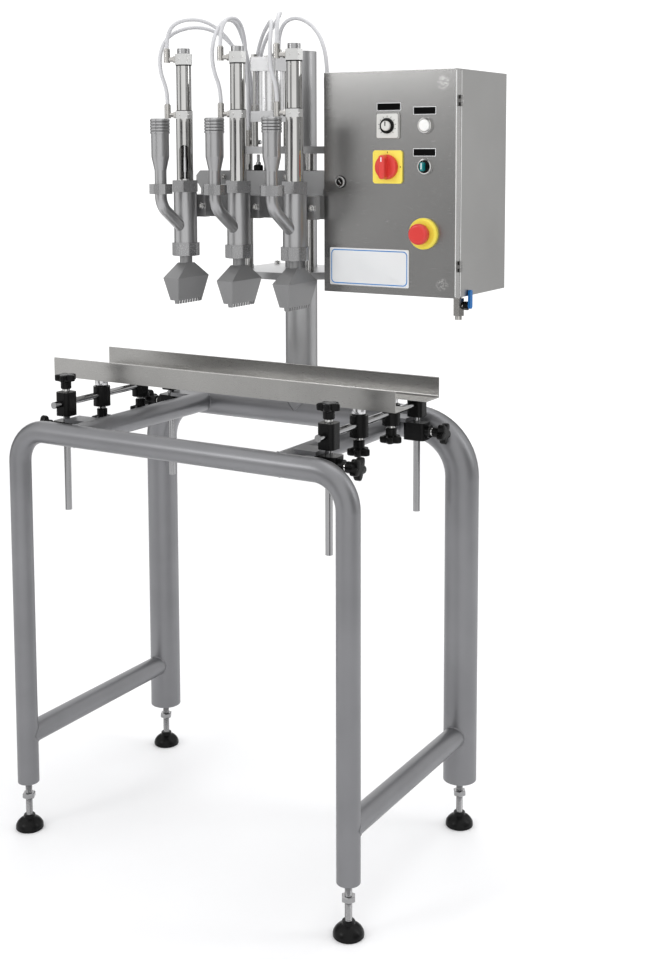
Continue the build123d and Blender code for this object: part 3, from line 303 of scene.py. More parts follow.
finishes = {
    "blastedSteel": {
        "metallic": 0.85, "dark": (0.21, 0.211, 0.219), "light": (0.24, 0.241, 0.25),
        "grain": 900.0, "rough": (0.32, 0.46), "bump": 0.12,
    },
    # the frame's steel painted lighter on the post: a painted highlight for the light falling on it
    "postPaintedLighter": {
        "metallic": 0.85, "dark": (0.365, 0.366, 0.371), "light": (0.4, 0.401, 0.406),
        "grain": 900.0, "rough": (0.32, 0.42), "bump": 0.08,
        "lowEnd": (900, 960), "lowEndTone": (0.22, 0.221, 0.228),  # the welded foot keeps the frame's own tone; above it the post is painted lighter
    },
    "satinPlate": {
        "metallic": 0.85, "dark": grey(0.46), "light": grey(0.51),
        "grain": 900.0, "rough": (0.26, 0.4), "bump": 0.08,
    },
    "satinBarrel": {
        "metallic": 0.8, "dark": grey(0.72), "light": grey(0.78),
        "grain": 900.0, "rough": (0.2, 0.3), "bump": 0.04,
    },
    "castGrey": {
        "metallic": 0.88, "dark": grey(0.37), "light": grey(0.4),
        "grain": 1500.0, "rough": (0.26, 0.31), "bump": 0.02,
    },
    "nozzleGrey": {
        "metallic": 0.45, "dark": grey(0.225), "light": grey(0.255),
        "grain": 700.0, "rough": (0.3, 0.42), "bump": 0.12,
    },
    "nutGrey": {
        "metallic": 0.8, "dark": grey(0.28), "light": grey(0.33),
        "grain": 700.0, "rough": (0.2, 0.32), "bump": 0.06,
    },
    "capGrey": {
        "metallic": 0.6, "dark": grey(0.52), "light": grey(0.6),
        "grain": 900.0, "rough": (0.16, 0.28), "bump": 0.05,
    },
    "rodSteel": {
        "metallic": 1.0, "dark": grey(0.3), "light": grey(0.35),
        "grain": 400.0, "rough": (0.07, 0.11), "bump": 0.008,
    },
    "brushedSheet": {
        "metallic": 1.0, "dark": (0.295, 0.292, 0.287), "light": (0.34, 0.337, 0.331), "cloud": 3.0,
        "grain": 60.0, "stretch": (1.0, 1.0, 40.0), "rough": (0.26, 0.4), "bump": 0.05, "anisotropic": 0.4,
    },
    "brushedDoor": {
        "metallic": 1.0, "dark": (0.32, 0.317, 0.312), "light": (0.37, 0.367, 0.361), "cloud": 3.0,
        "grain": 60.0, "stretch": (1.0, 1.0, 40.0), "rough": (0.19, 0.31), "bump": 0.05, "anisotropic": 0.4,
        "grindMarks": [(431, boxFront[1], 1555), (431, boxFront[1], 1173)],
        "grindRadius": 15.0, "grindTone": (0.72, 0.715, 0.7),
    },
    "brushedGuide": {
        "metallic": 1.0, "dark": (0.36, 0.355, 0.345), "light": (0.43, 0.424, 0.412), "cloud": 4.0,
        "grain": 60.0, "stretch": (1.0, 40.0, 40.0), "rough": (0.22, 0.36), "bump": 0.05, "anisotropic": 0.4,
    },
    "polishedSteel": {
        "metallic": 1.0, "dark": (0.5, 0.496, 0.486), "light": (0.58, 0.576, 0.565),
        "grain": 240.0, "stretch": (1.0, 1.0, 0.1), "rough": (0.08, 0.11), "bump": 0.005,
    },
    "turnedSteel": {
        "metallic": 1.0, "dark": grey(0.58), "light": grey(0.66),
        "grain": 500.0, "stretch": (0.2, 0.2, 3.0), "rough": (0.18, 0.3), "bump": 0.05,
    },
    # light tone of the rounded box edges: a painted highlight
    "edgeHighlightPaint": {
        "metallic": 0.55, "dark": (0.74, 0.74, 0.73), "light": (0.82, 0.82, 0.81),
        "grain": 900.0, "rough": (0.35, 0.48), "bump": 0.08,
    },
    "blockGrey": {
        "metallic": 0.55, "dark": (0.56, 0.56, 0.552), "light": (0.64, 0.64, 0.632),
        "grain": 900.0, "rough": (0.3, 0.42), "bump": 0.06,
    },
    "platedFitting": {
        "metallic": 1.0, "dark": (0.43, 0.418, 0.4), "light": (0.51, 0.497, 0.478),
        "grain": 400.0, "rough": (0.16, 0.28), "bump": 0.04,
    },
    "darkPlate": {
        "metallic": 0.6, "dark": grey(0.27), "light": grey(0.32),
        "grain": 600.0, "rough": (0.4, 0.55), "bump": 0.12,
    },
    "blackMoulding": {
        "dark": grey(0.003), "light": grey(0.006), "ior": 1.22,
        "grain": 1100.0, "rough": (0.2, 0.32), "bump": 0.12,
    },
    "labelBlack": {
        "dark": grey(0.002), "light": grey(0.004), "ior": 1.12,
        "grain": 900.0, "rough": (0.55, 0.65), "bump": 0.03,
    },
    "blackRubber": {
        "dark": grey(0.003), "light": grey(0.006), "ior": 1.24,
        "grain": 800.0, "rough": (0.22, 0.36), "bump": 0.15,
    },
    "redMoulding": {
        "dark": (0.66, 0.03, 0.025), "light": (0.74, 0.045, 0.035), "coat": 0.2,
        "grain": 900.0, "rough": (0.28, 0.38), "bump": 0.05,
    },
    "yellowMoulding": {
        "dark": (0.93, 0.76, 0.07), "light": (0.97, 0.82, 0.11),
        "grain": 900.0, "rough": (0.32, 0.42), "bump": 0.05,
    },
    "tealMoulding": {
        "dark": (0.0, 0.16, 0.17), "light": (0.0, 0.24, 0.25), "coat": 0.3,
        "grain": 900.0, "rough": (0.25, 0.35), "bump": 0.04,
    },
    "blueMoulding": {
        "dark": (0.0, 0.1, 0.33), "light": (0.0, 0.13, 0.4), "ior": 1.4,
        "grain": 900.0, "rough": (0.4, 0.5), "bump": 0.06,
    },
    "whiteLens": {
        "dark": (0.86, 0.86, 0.84), "light": (0.93, 0.93, 0.91), "coat": 0.4,
        "grain": 500.0, "rough": (0.15, 0.24), "bump": 0.02,
    },
    "timerCase": {
        "dark": (0.66, 0.655, 0.63), "light": (0.74, 0.735, 0.71),
        "grain": 900.0, "rough": (0.4, 0.5), "bump": 0.04,
    },
    "platePrint": {
        "dark": (0.78, 0.79, 0.8), "light": (0.86, 0.87, 0.88),
        "grain": 700.0, "rough": (0.3, 0.42), "bump": 0.03,
    },
    "plateBorder": {
        "dark": (0.02, 0.2, 0.55), "light": (0.03, 0.26, 0.65),
        "grain": 700.0, "rough": (0.32, 0.42), "bump": 0.03,
    },
    "clearTube": {
        "dark": (0.69, 0.692, 0.712), "light": (0.74, 0.742, 0.762), "transmission": 0.12, "ior": 1.35,
        "grain": 300.0, "rough": (0.34, 0.44), "bump": 0.01,
    },
    "panelGrey": {
        "dark": (0.42, 0.43, 0.44), "light": (0.5, 0.51, 0.52),
        "grain": 700.0, "rough": (0.45, 0.58), "bump": 0.08,
    },
    "studioFloor": {
        "dark": grey(0.965), "light": grey(0.975),
        "grain": 40.0, "rough": (0.6, 0.7), "bump": 0.02,
    },
}
materials = {name: finishMaterial(name, look) for name, look in finishes.items()}

nodeFinish = {
    "blastedSteel": ["front_leg_frame", "rear_leg_frame", "cross_members"],
    "postPaintedLighter": ["post"],
    "satinPlate": ["lift_plates"],
    "satinBarrel": ["lift_cylinder_barrel"],
    "castGrey": ["valve_bodies", "hose_tails", "head_standoffs"],
    "nozzleGrey": ["nozzles"],
    "nutGrey": ["head_nuts"],
    "brushedSheet": ["box_shell"],
    "brushedDoor": ["door"],
    "brushedGuide": ["front_guide", "rear_guide"],
    "polishedSteel": ["lift_rods", "lift_piston_rod", "slotted_sleeves", "cylinder_barrels"],
    "rodSteel": ["guide_support_rods"],
    "turnedSteel": ["plunger_1", "plunger_2", "plunger_3", "carriage_bushes"],
    "blockGrey": ["cylinder_end_blocks"],
    "capGrey": ["lift_cylinder_caps", "door_lock"],
    "platedFitting": ["head_air_fittings", "inlet_valve", "air_manifolds"],
    "darkPlate": ["carriage_plate", "carriage_blocks"],
    "blackMoulding": [
        "frame_clamps", "cross_clamps", "front_guide_clamps", "rear_guide_clamps", "panel_housings",
    ],
    "yellowMoulding": ["yellow_plates"],
    "redMoulding": ["estop_button"],
    "blueMoulding": ["valve_lever"],
    "whiteLens": ["pilot_lamp"],
    "panelGrey": ["box_internals"],
}
for finish, names in nodeFinish.items():
    for name in names:
        mesh = nodes[name].data
        mesh.materials.clear()
        mesh.materials.append(materials[finish])
print("materials made:", len(materials))

# Mesh helpers

sharpFrom = math.radians(38)
arcSteps = 7  # points on a quarter turn
arcStep = 15


def addPiece(name, mesh, finish, body, place):
    piece = bpy.data.objects.new(name, mesh)
    bpy.context.collection.objects.link(piece)
    mesh.materials.append(materials[finish])
    mesh.transform(place)
    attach(piece, body)
    return piece


def meshFrom(name, form, loops, around=False):
    # skin over loops of points, joined last to first or else capped
    above = loops[1:] + loops[:1] if around else loops[1:]
    for low, high in zip(loops, above):
        for i in range(len(low)):
            j = (i + 1) % len(low)
            form.faces.new((low[i], low[j], high[j], high[i]))
    if not around:
        form.faces.new(list(reversed(loops[0])))
        form.faces.new(loops[-1])
    bmesh.ops.recalc_face_normals(form, faces=form.faces)
    mesh = bpy.data.meshes.new(name)
    form.to_mesh(mesh)
    form.free()
    mesh.shade_smooth()
    return mesh


def ringStack(name, rings, segments=32, hollow=False):
    # rings of (radius or radius by angle, height) in millimetres
    form = bmesh.new()
    loops = []
    for radius, z in rings:
        loop = []
        for i in range(segments):
            angle = 2 * math.pi * i / segments
            r = radius(angle) if callable(radius) else radius
            loop.append(form.verts.new((r * math.cos(angle) * mm, r * math.sin(angle) * mm, z * mm)))
        loops.append(loop)
    mesh = meshFrom(name, form, loops, hollow)
    mesh.set_sharp_from_angle(angle=sharpFrom)
    return mesh


def addRings(name, rings, finish, body, place, segments=32, hollow=False):
    return addPiece(name, ringStack(name, rings, segments, hollow), finish, body, place)


def hexBy(acrossFlats):
    def radius(angle):
        return acrossFlats / 2 / math.cos(angle % (math.pi / 3) - math.pi / 6)
    return radius


def starBy(inner, outer, lobes, fullness=0.8):
    def radius(angle):
        return inner + (outer - inner) * (0.5 + 0.5 * math.cos(lobes * angle)) ** fullness
    return radius


def scaled(shape, factor):
    def radius(angle):
        return factor * (shape(angle) if callable(shape) else shape)
    return radius


def hexRings(flats, low, high, lowChamfer=0.6, highChamfer=0.6, tip=0.92):
    shape = hexBy(flats)
    return [
        (scaled(shape, tip), low), (shape, low + lowChamfer),
        (shape, high - highChamfer), (scaled(shape, tip), high),
    ]


def threadRings(heights, crest, root, crestLong, rootAt):
    rings = []
    for z in heights:
        rings += [(crest, z), (crest, z + crestLong), (root, z + rootAt)]
    return rings


def roundedSlab(name, width, height, corner, low, high, edge):
    outline = []
    for sx, sy, start in ((1, 1, 0), (-1, 1, 90), (-1, -1, 180), (1, -1, 270)):
        for k in range(arcSteps):
            a = math.radians(start + arcStep * k)
            x = sx * (width / 2 - corner) + corner * math.cos(a)
            y = sy * (height / 2 - corner) + corner * math.sin(a)
            outline.append((x, y))
    form = bmesh.new()
    loops = []
    for inset, z in ((0, low), (0, high - edge), (edge, high)):
        fx = 1 - 2 * inset / width
        fy = 1 - 2 * inset / height
        loops.append([form.verts.new((x * fx * mm, y * fy * mm, z * mm)) for x, y in outline])
    mesh = meshFrom(name, form, loops)
    mesh.set_sharp_from_angle(angle=sharpFrom)
    return mesh


def barAlong(name, outline, length):
    # outline of (y, z) in millimetres, drawn out along X
    form = bmesh.new()
    loops = [[form.verts.new((x * mm, y * mm, z * mm)) for y, z in outline] for x in (0, length)]
    mesh = meshFrom(name, form, loops)
    mesh.set_sharp_from_angle(angle=sharpFrom)
    return mesh


def at(x, y, z, turn=None):
    place = Matrix.Translation(inFrame((x, y, z)))
    return place if turn is None else place @ turn


def turned(degrees, axis):
    return Matrix.Rotation(math.radians(degrees), 4, axis)


facing = turned(90, "X")  # local +Z becomes -Y, local +Y becomes +Z
alongX = turned(90, "Y")  # local +Z becomes +X


def onDoor(u, v):
    return at(boxFront[0] + u, boxFront[1], boxFront[2] + v, facing)


def cornerName(corner):
    return corner.title().replace("_", "")


# Air tubes: one NURBS line each, on the CAD's route points

airTubes = {
    "radius": 4.0,
    "steps": 8,  # along each span of the line
    "roundSteps": 3,
    "bendFrom": (0, -62, 1600),
    "bendTo": (0, 30, 1600),
    "routes": {
        "head1Top": [
            (-162.8, -77, 1635.3), (-162.8, -77, 1666), (-148, -63, 1693), (-112, -29, 1699),
            (-82, 3, 1676), (-64, 29, 1636), (-58, 40, 1590), (-60, 41, 1545),
            (-59, 40, 1505), (-59, 40, 1469.3),
        ],
        "head1Middle": [
            (-162.8, -77, 1522.3), (-162.8, -77, 1552), (-176, -84, 1590), (-180, -78, 1632),
            (-173, -56, 1668), (-138, -20, 1686), (-98, 8, 1676), (-74, 39, 1645),
            (-59, 54, 1600), (-52, 58, 1555), (-50, 57, 1510), (-50, 57, 1469.3),
        ],
        "head2Top": [
            (-28.8, -77, 1635.3), (-28.8, -77, 1666), (-28, -57, 1694), (-30, -13, 1697),
            (-36, 17, 1672), (-42, 34, 1630), (-43, 41, 1580), (-42, 40, 1525),
            (-42, 40, 1469.3),
        ],
        "head2Middle": [
            (-28.8, -77, 1522.3), (-28.8, -77, 1552), (-43, -84, 1592), (-47, -81, 1636),
            (-47, -62, 1674), (-51, -22, 1697), (-56, 20, 1692), (-61, 52, 1660),
            (-60, 69, 1615), (-55, 73, 1565), (-55, 73, 1522.3),
        ],
        "head3Middle": [
            (105.2, -77, 1522.3), (105.2, -77, 1552), (94, -83, 1590), (91, -80, 1634),
            (82, -60, 1670), (54, -16, 1690), (20, 25, 1686), (-16, 57, 1668),
            (-41, 72, 1626), (-43, 74, 1580), (-40, 73, 1550), (-40, 73, 1522.3),
        ],
        "head3Top": [
            (105.2, -77, 1635.3), (105.2, -77, 1666), (98, -58, 1695), (74, -14, 1703),
            (40, 32, 1698), (4, 64, 1682), (-32, 84, 1650), (-47, 89, 1604),
            (-47, 86, 1560), (-47, 86, 1522.3),
        ],
        "boxFeed": [
            (8, 82, 1637.3), (8, 82, 1667), (26, 77, 1695), (64, 64, 1701),
            (108, 48, 1684), (140, 36, 1652), (156, 30, 1608), (156, 30, 1574.3),
        ],
    },
}


def routeCurve(name, points, bevel):
    data = bpy.data.curves.new(name, "CURVE")
    data.dimensions = "3D"
    data.resolution_u = airTubes["steps"]
    data.bevel_depth = bevel
    data.bevel_resolution = airTubes["roundSteps"]
    data.use_fill_caps = True
    spline = data.splines.new("NURBS")
    spline.points.add(len(points) - 1)
    for point, place in zip(spline.points, points):
        point.co = (*inFrame(place), 1)
    spline.order_u = 3
    spline.use_endpoint_u = True
    return bpy.data.objects.new(name, data)


def meshFromCurve(name, points, bevel):
    curve = routeCurve(name + "Line", points, bevel)
    bpy.context.collection.objects.link(curve)
    bpy.context.view_layer.update()
    evaluated = curve.evaluated_get(bpy.context.evaluated_depsgraph_get())
    mesh = bpy.data.meshes.new_from_object(evaluated)
    bpy.data.objects.remove(curve)
    mesh.name = name
    return mesh


def runAirTubes(spec):
    for name, points in spec["routes"].items():
        line = [tuple(v.co) for v in meshFromCurve(name + "Centre", points, 0.0).vertices]
        mesh = meshFromCurve("airTube" + name[0].upper() + name[1:], points, spec["radius"] * mm)
        mesh.materials.clear()
        mesh.materials.append(materials["clearTube"])
        mesh.shade_smooth()
        tube = bpy.data.objects.new(mesh.name, mesh)
        bpy.context.collection.objects.link(tube)
        if name == "boxFeed":
            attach(tube, "stand")
        else:
            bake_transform(tube)
        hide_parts("air_tubes")


runAirTubes(airTubes)
print("air tubes run")

# Star knobs: bright neck with its stud, black hub and lobed head

knob = {
    "studRadius": 4,
    "studs": {"height": 24.7, "width": 16.7, "cross": 15.7},
    "neck": [(4, 0.3), (8, 0.3), (8, 5.8), (7.4, 6.3)],
    "hub": [(9.6, 6.3), (11, 7.6), (11, 20.5)],
    "lobes": (14.6, 22.8, 5),
    "head": [  # share of the lobes, height
        (0.8, 22.3), (0.96, 23.2), (1, 25), (1, 33.2), (0.96, 35.2), (0.84, 36.2), (0.4, 36.3),
    ],
    "heightX": 347.0,
    "heightZ": 856.25,
    "widthZ": 888.0,
    "crossZ": 935.0,
}


def placeKnob(kind, corner, place):
    node = kind + "_knob_" + corner
    name = kind + "Knob" + cornerName(corner)
    star = starBy(*knob["lobes"])
    headRings = knob["hub"] + [(scaled(star, share), z) for share, z in knob["head"]]
    neckRings = [(knob["studRadius"], -knob["studs"][kind])] + knob["neck"]
    head = addRings(name + "Head", headRings, "blackMoulding", node, place, 60)
    neck = addRings(name + "Neck", neckRings, "polishedSteel", node, place, 24)
    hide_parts(node)
    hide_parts(node)


for corner, (sx, sy) in corners.items():
    supportLine = standMidY + sy * supportY
    sideways = turned(sx * 90, "Y")
    upsideDown = turned(180, "X")
    placeKnob("height", corner, at(sx * knob["heightX"], supportLine, knob["heightZ"], sideways))
    placeKnob("width", corner, at(sx * clampX, standMidY + sy * clampY, knob["widthZ"], upsideDown))
    if sy < 0:
        placeKnob("cross", corner, at(sx * clampX, supportLine, knob["crossZ"]))
print("star knobs placed")

# Levelling feet: domed pad, threaded stud and lock nut

foot = {
    "pad": [
        (27.6, 0), (29, 1.4), (29, 6), (28.2, 9.5), (25.6, 14), (21.5, 18.5), (16.5, 22), (12.6, 24),
        (12, 25.5), (12, 29.2), (11.2, 30),
    ],
    "studStart": (6.9, 20),
    "thread": (6.95, 6.3, 0.6, 1.3),  # crest and root radius, length of the crest, place of the root
    "threadFrom": 30,
    "threadTo": 101,
    "pitch": 2,
    "studTop": 151,
    "nut": (24, 67, 78, 1.4, 1.4, 0.9),  # across flats, from, to, chamfers, tip
}


def placeFoot(corner, sx, sy):
    node = "foot_" + corner
    name = "foot" + cornerName(corner)
    place = at(sx * legX, standMidY + sy * standHalfY, 0)
    crest = foot["thread"][0]
    turns = range(foot["threadFrom"], foot["threadTo"], foot["pitch"])
    thread = [foot["studStart"]] + threadRings(turns, *foot["thread"])
    thread += [(crest, foot["threadTo"]), (crest, foot["studTop"])]
    pad = addRings(name + "Pad", foot["pad"], "blackRubber", node, place, 48)
    stud = addRings(name + "Stud", thread, "rodSteel", node, place, 20)
    nut = addRings(name + "Nut", hexRings(*foot["nut"]), "rodSteel", node, place, 48)
    for piece in (pad, stud, nut):
        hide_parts(node)


for corner, (sx, sy) in corners.items():
    placeFoot(corner, sx, sy)
print("feet placed")

# Bright sleeves on the guides' stubs

stubSleeve = {"rings": [(13.2, 930.4), (13.5, 930.8), (13.5, 945.2), (13.2, 945.6)]}
for corner, (sx, sy) in corners.items():
    name = "stubSleeve" + cornerName(corner)
    body = "front_guide" if sy < 0 else "rear_guide"
    place = at(sx * clampX, standMidY + sy * clampY, 0)
    addRings(name, stubSleeve["rings"], "turnedSteel", body, place)

# Rounded edges and folds of the two angle guides

guideTrim = {
    "from": -422.6,
    "length": 829.2,
    "edge": 1.05,
    "fold": 3.5,
    "flangeTop": 948.0,
    "edges": [  # name, body, y, z
        ("frontGuideTop", "front_guide", -148.0, 985.9),
        ("rearGuideTop", "rear_guide", 34.0, 985.9),
        ("frontGuideLip", "front_guide", -94.1, 947.0),
        ("rearGuideLip", "rear_guide", -19.9, 947.0),
    ],
    "folds": [  # name, body, y of the web's inner face, way to the flange
        ("frontGuideFold", "front_guide", -147.0, 1),
        ("rearGuideFold", "rear_guide", 33.0, -1),
    ],
}


def edgeGuides(s):
    rings = [(s["edge"], 0), (s["edge"], s["length"])]
    for name, body, y, z in s["edges"]:
        addRings(name, rings, "brushedGuide", body, at(s["from"], y, z, alongX), 12)
    r = s["fold"]
    for name, body, y, way in s["folds"]:
        outline = [(0, 0)]
        for k in range(arcSteps):
            a = math.radians(arcStep * k)
            outline.append((way * r * (1 - math.cos(a)), r * (1 - math.sin(a))))
        mesh = barAlong(name, outline, s["length"])
        addPiece(name, mesh, "brushedGuide", body, at(s["from"], y, s["flangeTop"]))


edgeGuides(guideTrim)
print("guides dressed")

# Black ring on the lift coupling

coupling = {"rings": [(14.1, 1387.4), (14.5, 1388), (14.5, 1399.4), (14.1, 1400)], "y": postY - 118}
couplingPlace = at(0, coupling["y"], 0)
addRings("couplingRing", coupling["rings"], "blackMoulding", "carriage", couplingPlace)

# Stop screw of the lift, on the carriage's link block: rubber buffer, lock nut and stud

stop = {
    "place": (-20.0, 44.0),
    "buffer": [(9.2, 1387.2), (10, 1388), (10, 1396.5), (8.4, 1398.4), (7, 1399)],
    "nut": (11, 1398.6, 1404.5, 1.0),  # across flats, from, to, lower chamfer
    "studStart": (3.2, 1404.0),
    "thread": (3.5, 3.1, 0.5, 1.0),
    "threadFrom": 1404.5,
    "pitch": 1.4,
    "turns": 10,
    "studEnd": [(3.5, 1419.0), (2.8, 1420.5)],
}


def placeStop(s):
    place = at(*s["place"], 0)
    turns = [s["threadFrom"] + s["pitch"] * k for k in range(s["turns"])]
    thread = [s["studStart"]] + threadRings(turns, *s["thread"]) + s["studEnd"]
    addRings("stopBuffer", s["buffer"], "blackRubber", "carriage", place)
    addRings("stopNut", hexRings(*s["nut"]), "turnedSteel", "carriage", place, 48)
    addRings("stopStud", thread, "turnedSteel", "carriage", place, 20)


placeStop(stop)
print("lift dressed")

# Socket screws: on the heads' flanges, the carriage, the lift plates and the cylinders' end blocks

blockFace = {"turn": -58, "out": 17.0, "aside": 9.0}  # where the two screws of an end block sit


def onBlock(x, z, side):
    offset = Matrix.Translation((blockFace["out"] * mm, side * blockFace["aside"] * mm, 0))
    return at(x, headY, z) @ turned(blockFace["turn"], "Z") @ offset @ alongX


plateCorners = [(-85, postY + 36), (150, postY + 36), (150, postY - 60), (-85, postY - 70)]
screws = {
    "flange": {
        "radius": 6.5, "height": 7.5, "body": "carriage",
        "places": [at(x + dx, headY + 21, 1315, facing) for x in headXs for dx in (-29, 29)],
    },
    "carriage": {
        "radius": 5.0, "height": 5.5, "body": "carriage",
        "places": [
            at(x + dx, postY - 159, z, facing) for x in (-77, 77) for dx in (-13, 13) for z in (1303, 1374)
        ],
    },
    "plate": {
        "radius": 6.5, "height": 7.0, "body": "stand",
        "places": [at(x, y, z) for z in (1437, 1176) for x, y in plateCorners],
    },
    "block": {
        "radius": 1.9, "height": 0.7, "body": "carriage",
        "places": [onBlock(x, z, side) for x in headXs for z in blockZs for side in (-1, 1)],
    },
}
screwEdge = 0.5
socketFloor = 0.45  # share of the head's height
socketTaper = 0.98


def placeScrews(kind, spec):
    r = spec["radius"]
    h = spec["height"]
    socket = hexBy(r)
    rings = [
        (r, 0), (r, h - screwEdge), (r - screwEdge, h), (socket, h),
        (scaled(socket, socketTaper), socketFloor * h),
    ]
    for i, place in enumerate(spec["places"]):
        addRings(kind + "Screw" + str(i + 1), rings, "polishedSteel", spec["body"], place, 24)


for kind, spec in screws.items():
    placeScrews(kind, spec)
print("screws placed")

# Push-in collars round the tubes' ends

tubeCollar = {
    "rings": [(4.2, 0), (5.6, 0), (5.6, 1.6), (5.1, 2.2), (4.2, 2.2)],
    "headOffset": -28.8,
    "headY": -77,
    "headZs": (1522, 1635),
    "stand": [
        (-59, 40, 1469), (-42, 40, 1469), (-50, 57, 1469), (-55, 73, 1522), (-40, 73, 1522), (-47, 86, 1522),
        (8, 82, 1637), (156, 30, 1574),
    ],
}


def placeCollars(s):
    ends = [("carriage", (x + s["headOffset"], s["headY"], z)) for x in headXs for z in s["headZs"]]
    ends += [("stand", place) for place in s["stand"]]
    for i, (body, place) in enumerate(ends):
        name = "tubeCollar" + str(i + 1)
        addRings(name, s["rings"], "platedFitting", body, at(*place), 24, True)


placeCollars(tubeCollar)

# Grey sleeve on each head's top boss, and thin black rings at both ends of its barrel: painted shade in the
# grooves there

headTrim = {
    "boss": [(12.9, 1626.1), (12.9, 1636.4), (12.1, 1637.2)],
    "grooveShades": [
        [(15.55, 1601.6), (16.1, 1601.6), (16.1, 1603.9), (15.55, 1603.9)],
        [(15.55, 1510.1), (16.0, 1510.1), (16.0, 1511.5), (15.55, 1511.5)],
    ],
}


def trimHeads(s):
    for i, x in enumerate(headXs):
        place = at(x, headY, 0)
        addRings("bossSleeve" + str(i + 1), s["boss"], "castGrey", "carriage", place)
        # black rings standing for the shaded grooves: painted shade
        for k, rings in enumerate(s["grooveShades"]):
            name = "barrelGrooveShade" + str(len(s["grooveShades"]) * i + k + 1)
            addRings(name, rings, "blackRubber", "carriage", place, 32, True)


trimHeads(headTrim)

# Hex collars on the elbows' stems, and a flow screw on each manifold

stemCollar = {"hex": (12.0, 17.2, 21.8), "turn": -148}
flowScrew = {
    "hex": (11.0, 0.1, 5.0),
    "neck": [(3.4, 4.7), (3.4, 7.5)],
    "grip": starBy(4.1, 4.6, 18),
    "gripRings": [(0.9, 7.5), (1, 8.2), (1, 13.7), (0.86, 14.5)],  # share of the grip, height
    "places": [((-34, 54, 1446), alongX), ((-39, 67, 1499), facing)],
}


def collarStems(s):
    rings = hexRings(*s["hex"])
    stems = [(x, z) for x in headXs for z in blockZs]
    for i, (x, z) in enumerate(stems):
        place = at(x, headY, z) @ turned(s["turn"], "Z") @ alongX
        addRings("stemCollar" + str(i + 1), rings, "platedFitting", "carriage", place, 48)


def placeFlowScrew(number, place, s):
    name = "flowScrew" + str(number)
    gripRings = [(scaled(s["grip"], share), z) for share, z in s["gripRings"]]
    parts = [("Hex", hexRings(*s["hex"]), 48), ("Neck", s["neck"], 24), ("Knob", gripRings, 144)]
    for part, rings, sides in parts:
        addRings(name + part, rings, "turnedSteel", "stand", place, sides)


collarStems(stemCollar)
for i, (point, turn) in enumerate(flowScrew["places"]):
    placeFlowScrew(i + 1, at(*point, turn), flowScrew)

# Black gland nut between the inlet valve and its lever

gland = {"hex": (15.0, 0, 9.3), "place": (449.9, 54.5, 1128.0)}
glandPlace = at(*gland["place"], alongX)
addRings("valveGland", hexRings(*gland["hex"]), "blackMoulding", "stand", glandPlace, 48)
print("air fittings dressed")

# Weld beads where tubes of the stand meet

welds = {
    "radius": 1.7,
    "swell": 0.13,  # ripple along the bead
    "sides": 8,
    "steps": 96,
    "tubeR": 22.5,
    "frontR": 22.5,
    "rearR": 35.0,
    "stretcherZ": 205.0,
    "barZ": 860.0,
    "crossX": 245.0,
}
offAxis = Vector((0.31, 0.52, 0.79))  # no bead runs along it


def beadMesh(name, points, w):
    form = bmesh.new()
    loops = []
    count = len(points)
    for i, point in enumerate(points):
        along = (points[(i + 1) % count] - points[i - 1]).normalized()
        side = along.cross(offAxis).normalized()
        other = along.cross(side)
        r = w["radius"] * (1 + w["swell"] * math.sin(i * math.pi / 2))
        loop = []
        for k in range(w["sides"]):
            a = 2 * math.pi * k / w["sides"]
            loop.append(form.verts.new((point + r * (math.cos(a) * side + math.sin(a) * other)) * mm))
        loops.append(loop)
    return meshFrom(name, form, loops, True)


def saddle(centre, barR, across, toward, w):
    # where a tube along Y meets an upright leg ("Z") or a level bar ("X") of radius barR
    points = []
    for i in range(w["steps"]):
        a = 2 * math.pi * i / w["steps"]
        u = w["tubeR"] * math.cos(a)
        v = w["tubeR"] * math.sin(a)
        depth = math.sqrt(max(barR ** 2 - (u if across == "Z" else v) ** 2, 0))
        points.append(Vector((centre[0] + u, centre[1] + toward * depth, centre[2] + v)))
    return points


def postRing(w):
    r = w["rearR"]
    points = []
    for i in range(w["steps"]):
        a = 2 * math.pi * i / w["steps"]
        x, y = r * math.cos(a), r * math.sin(a)
        points.append(Vector((x, postY + y, w["barZ"] + math.sqrt(max(r ** 2 - y ** 2, 0)))))
    return points


def runWelds(w):
    joints = []
    for side, sx in (("Left", -1), ("Right", 1)):
        for end, y, r, toward in (("Front", frontY, w["frontR"], 1), ("Rear", postY, w["rearR"], -1)):
            stretcher = saddle((sx * legX, y, w["stretcherZ"]), r, "Z", toward, w)
            cross = saddle((sx * w["crossX"], y, w["barZ"]), r, "X", toward, w)
            joints += [("stretcher" + end + side, stretcher), ("cross" + end + side, cross)]
    joints.append(("post", postRing(w)))
    for joint, points in joints:
        name = joint + "Weld"
        addPiece(name, beadMesh(name, points, w), "blastedSteel", "stand", at(0, 0, 0))


runWelds(welds)
print("welds run")

# Control door; a slab is (width, height, corner, from, to, edge), places are from the door's lower left


def doorSlab(name, place, slab, finish, slot, body="door"):
    return addPiece(name, roundedSlab(name, *slab), finish, body, onDoor(*place))


labels = {
    "places": [(145.5, 364, 50, 13), (222.5, 355.5, 46, 13), (222.5, 276.5, 46, 13)],
    "rim": 2.2,
    "rimSlab": (1.2, 0.02, 0.5, 0.15),
    "slab": (0.8, 0.4, 0.8, 0.15),
}
nameplate = {
    "place": (101.7, 51.5),
    "slab": (176.5, 74, 2.5, 0.02, 0.8, 0.15),
    "border": (170.5, 68, 9, 0.7, 0.95, 0.05),
    "field": (166.5, 64, 7.4, 0.9, 1.1, 0.05),
}


def dressLabels(s):
    for i, (u, v, width, height) in enumerate(s["places"]):
        name = "label" + str(i + 1)
        rim = (width + s["rim"], height + s["rim"], *s["rimSlab"])
        doorSlab(name + "Rim", (u, v), rim, "platePrint", "timer_face")
        doorSlab(name, (u, v), (width, height, *s["slab"]), "labelBlack", "black_plastic")


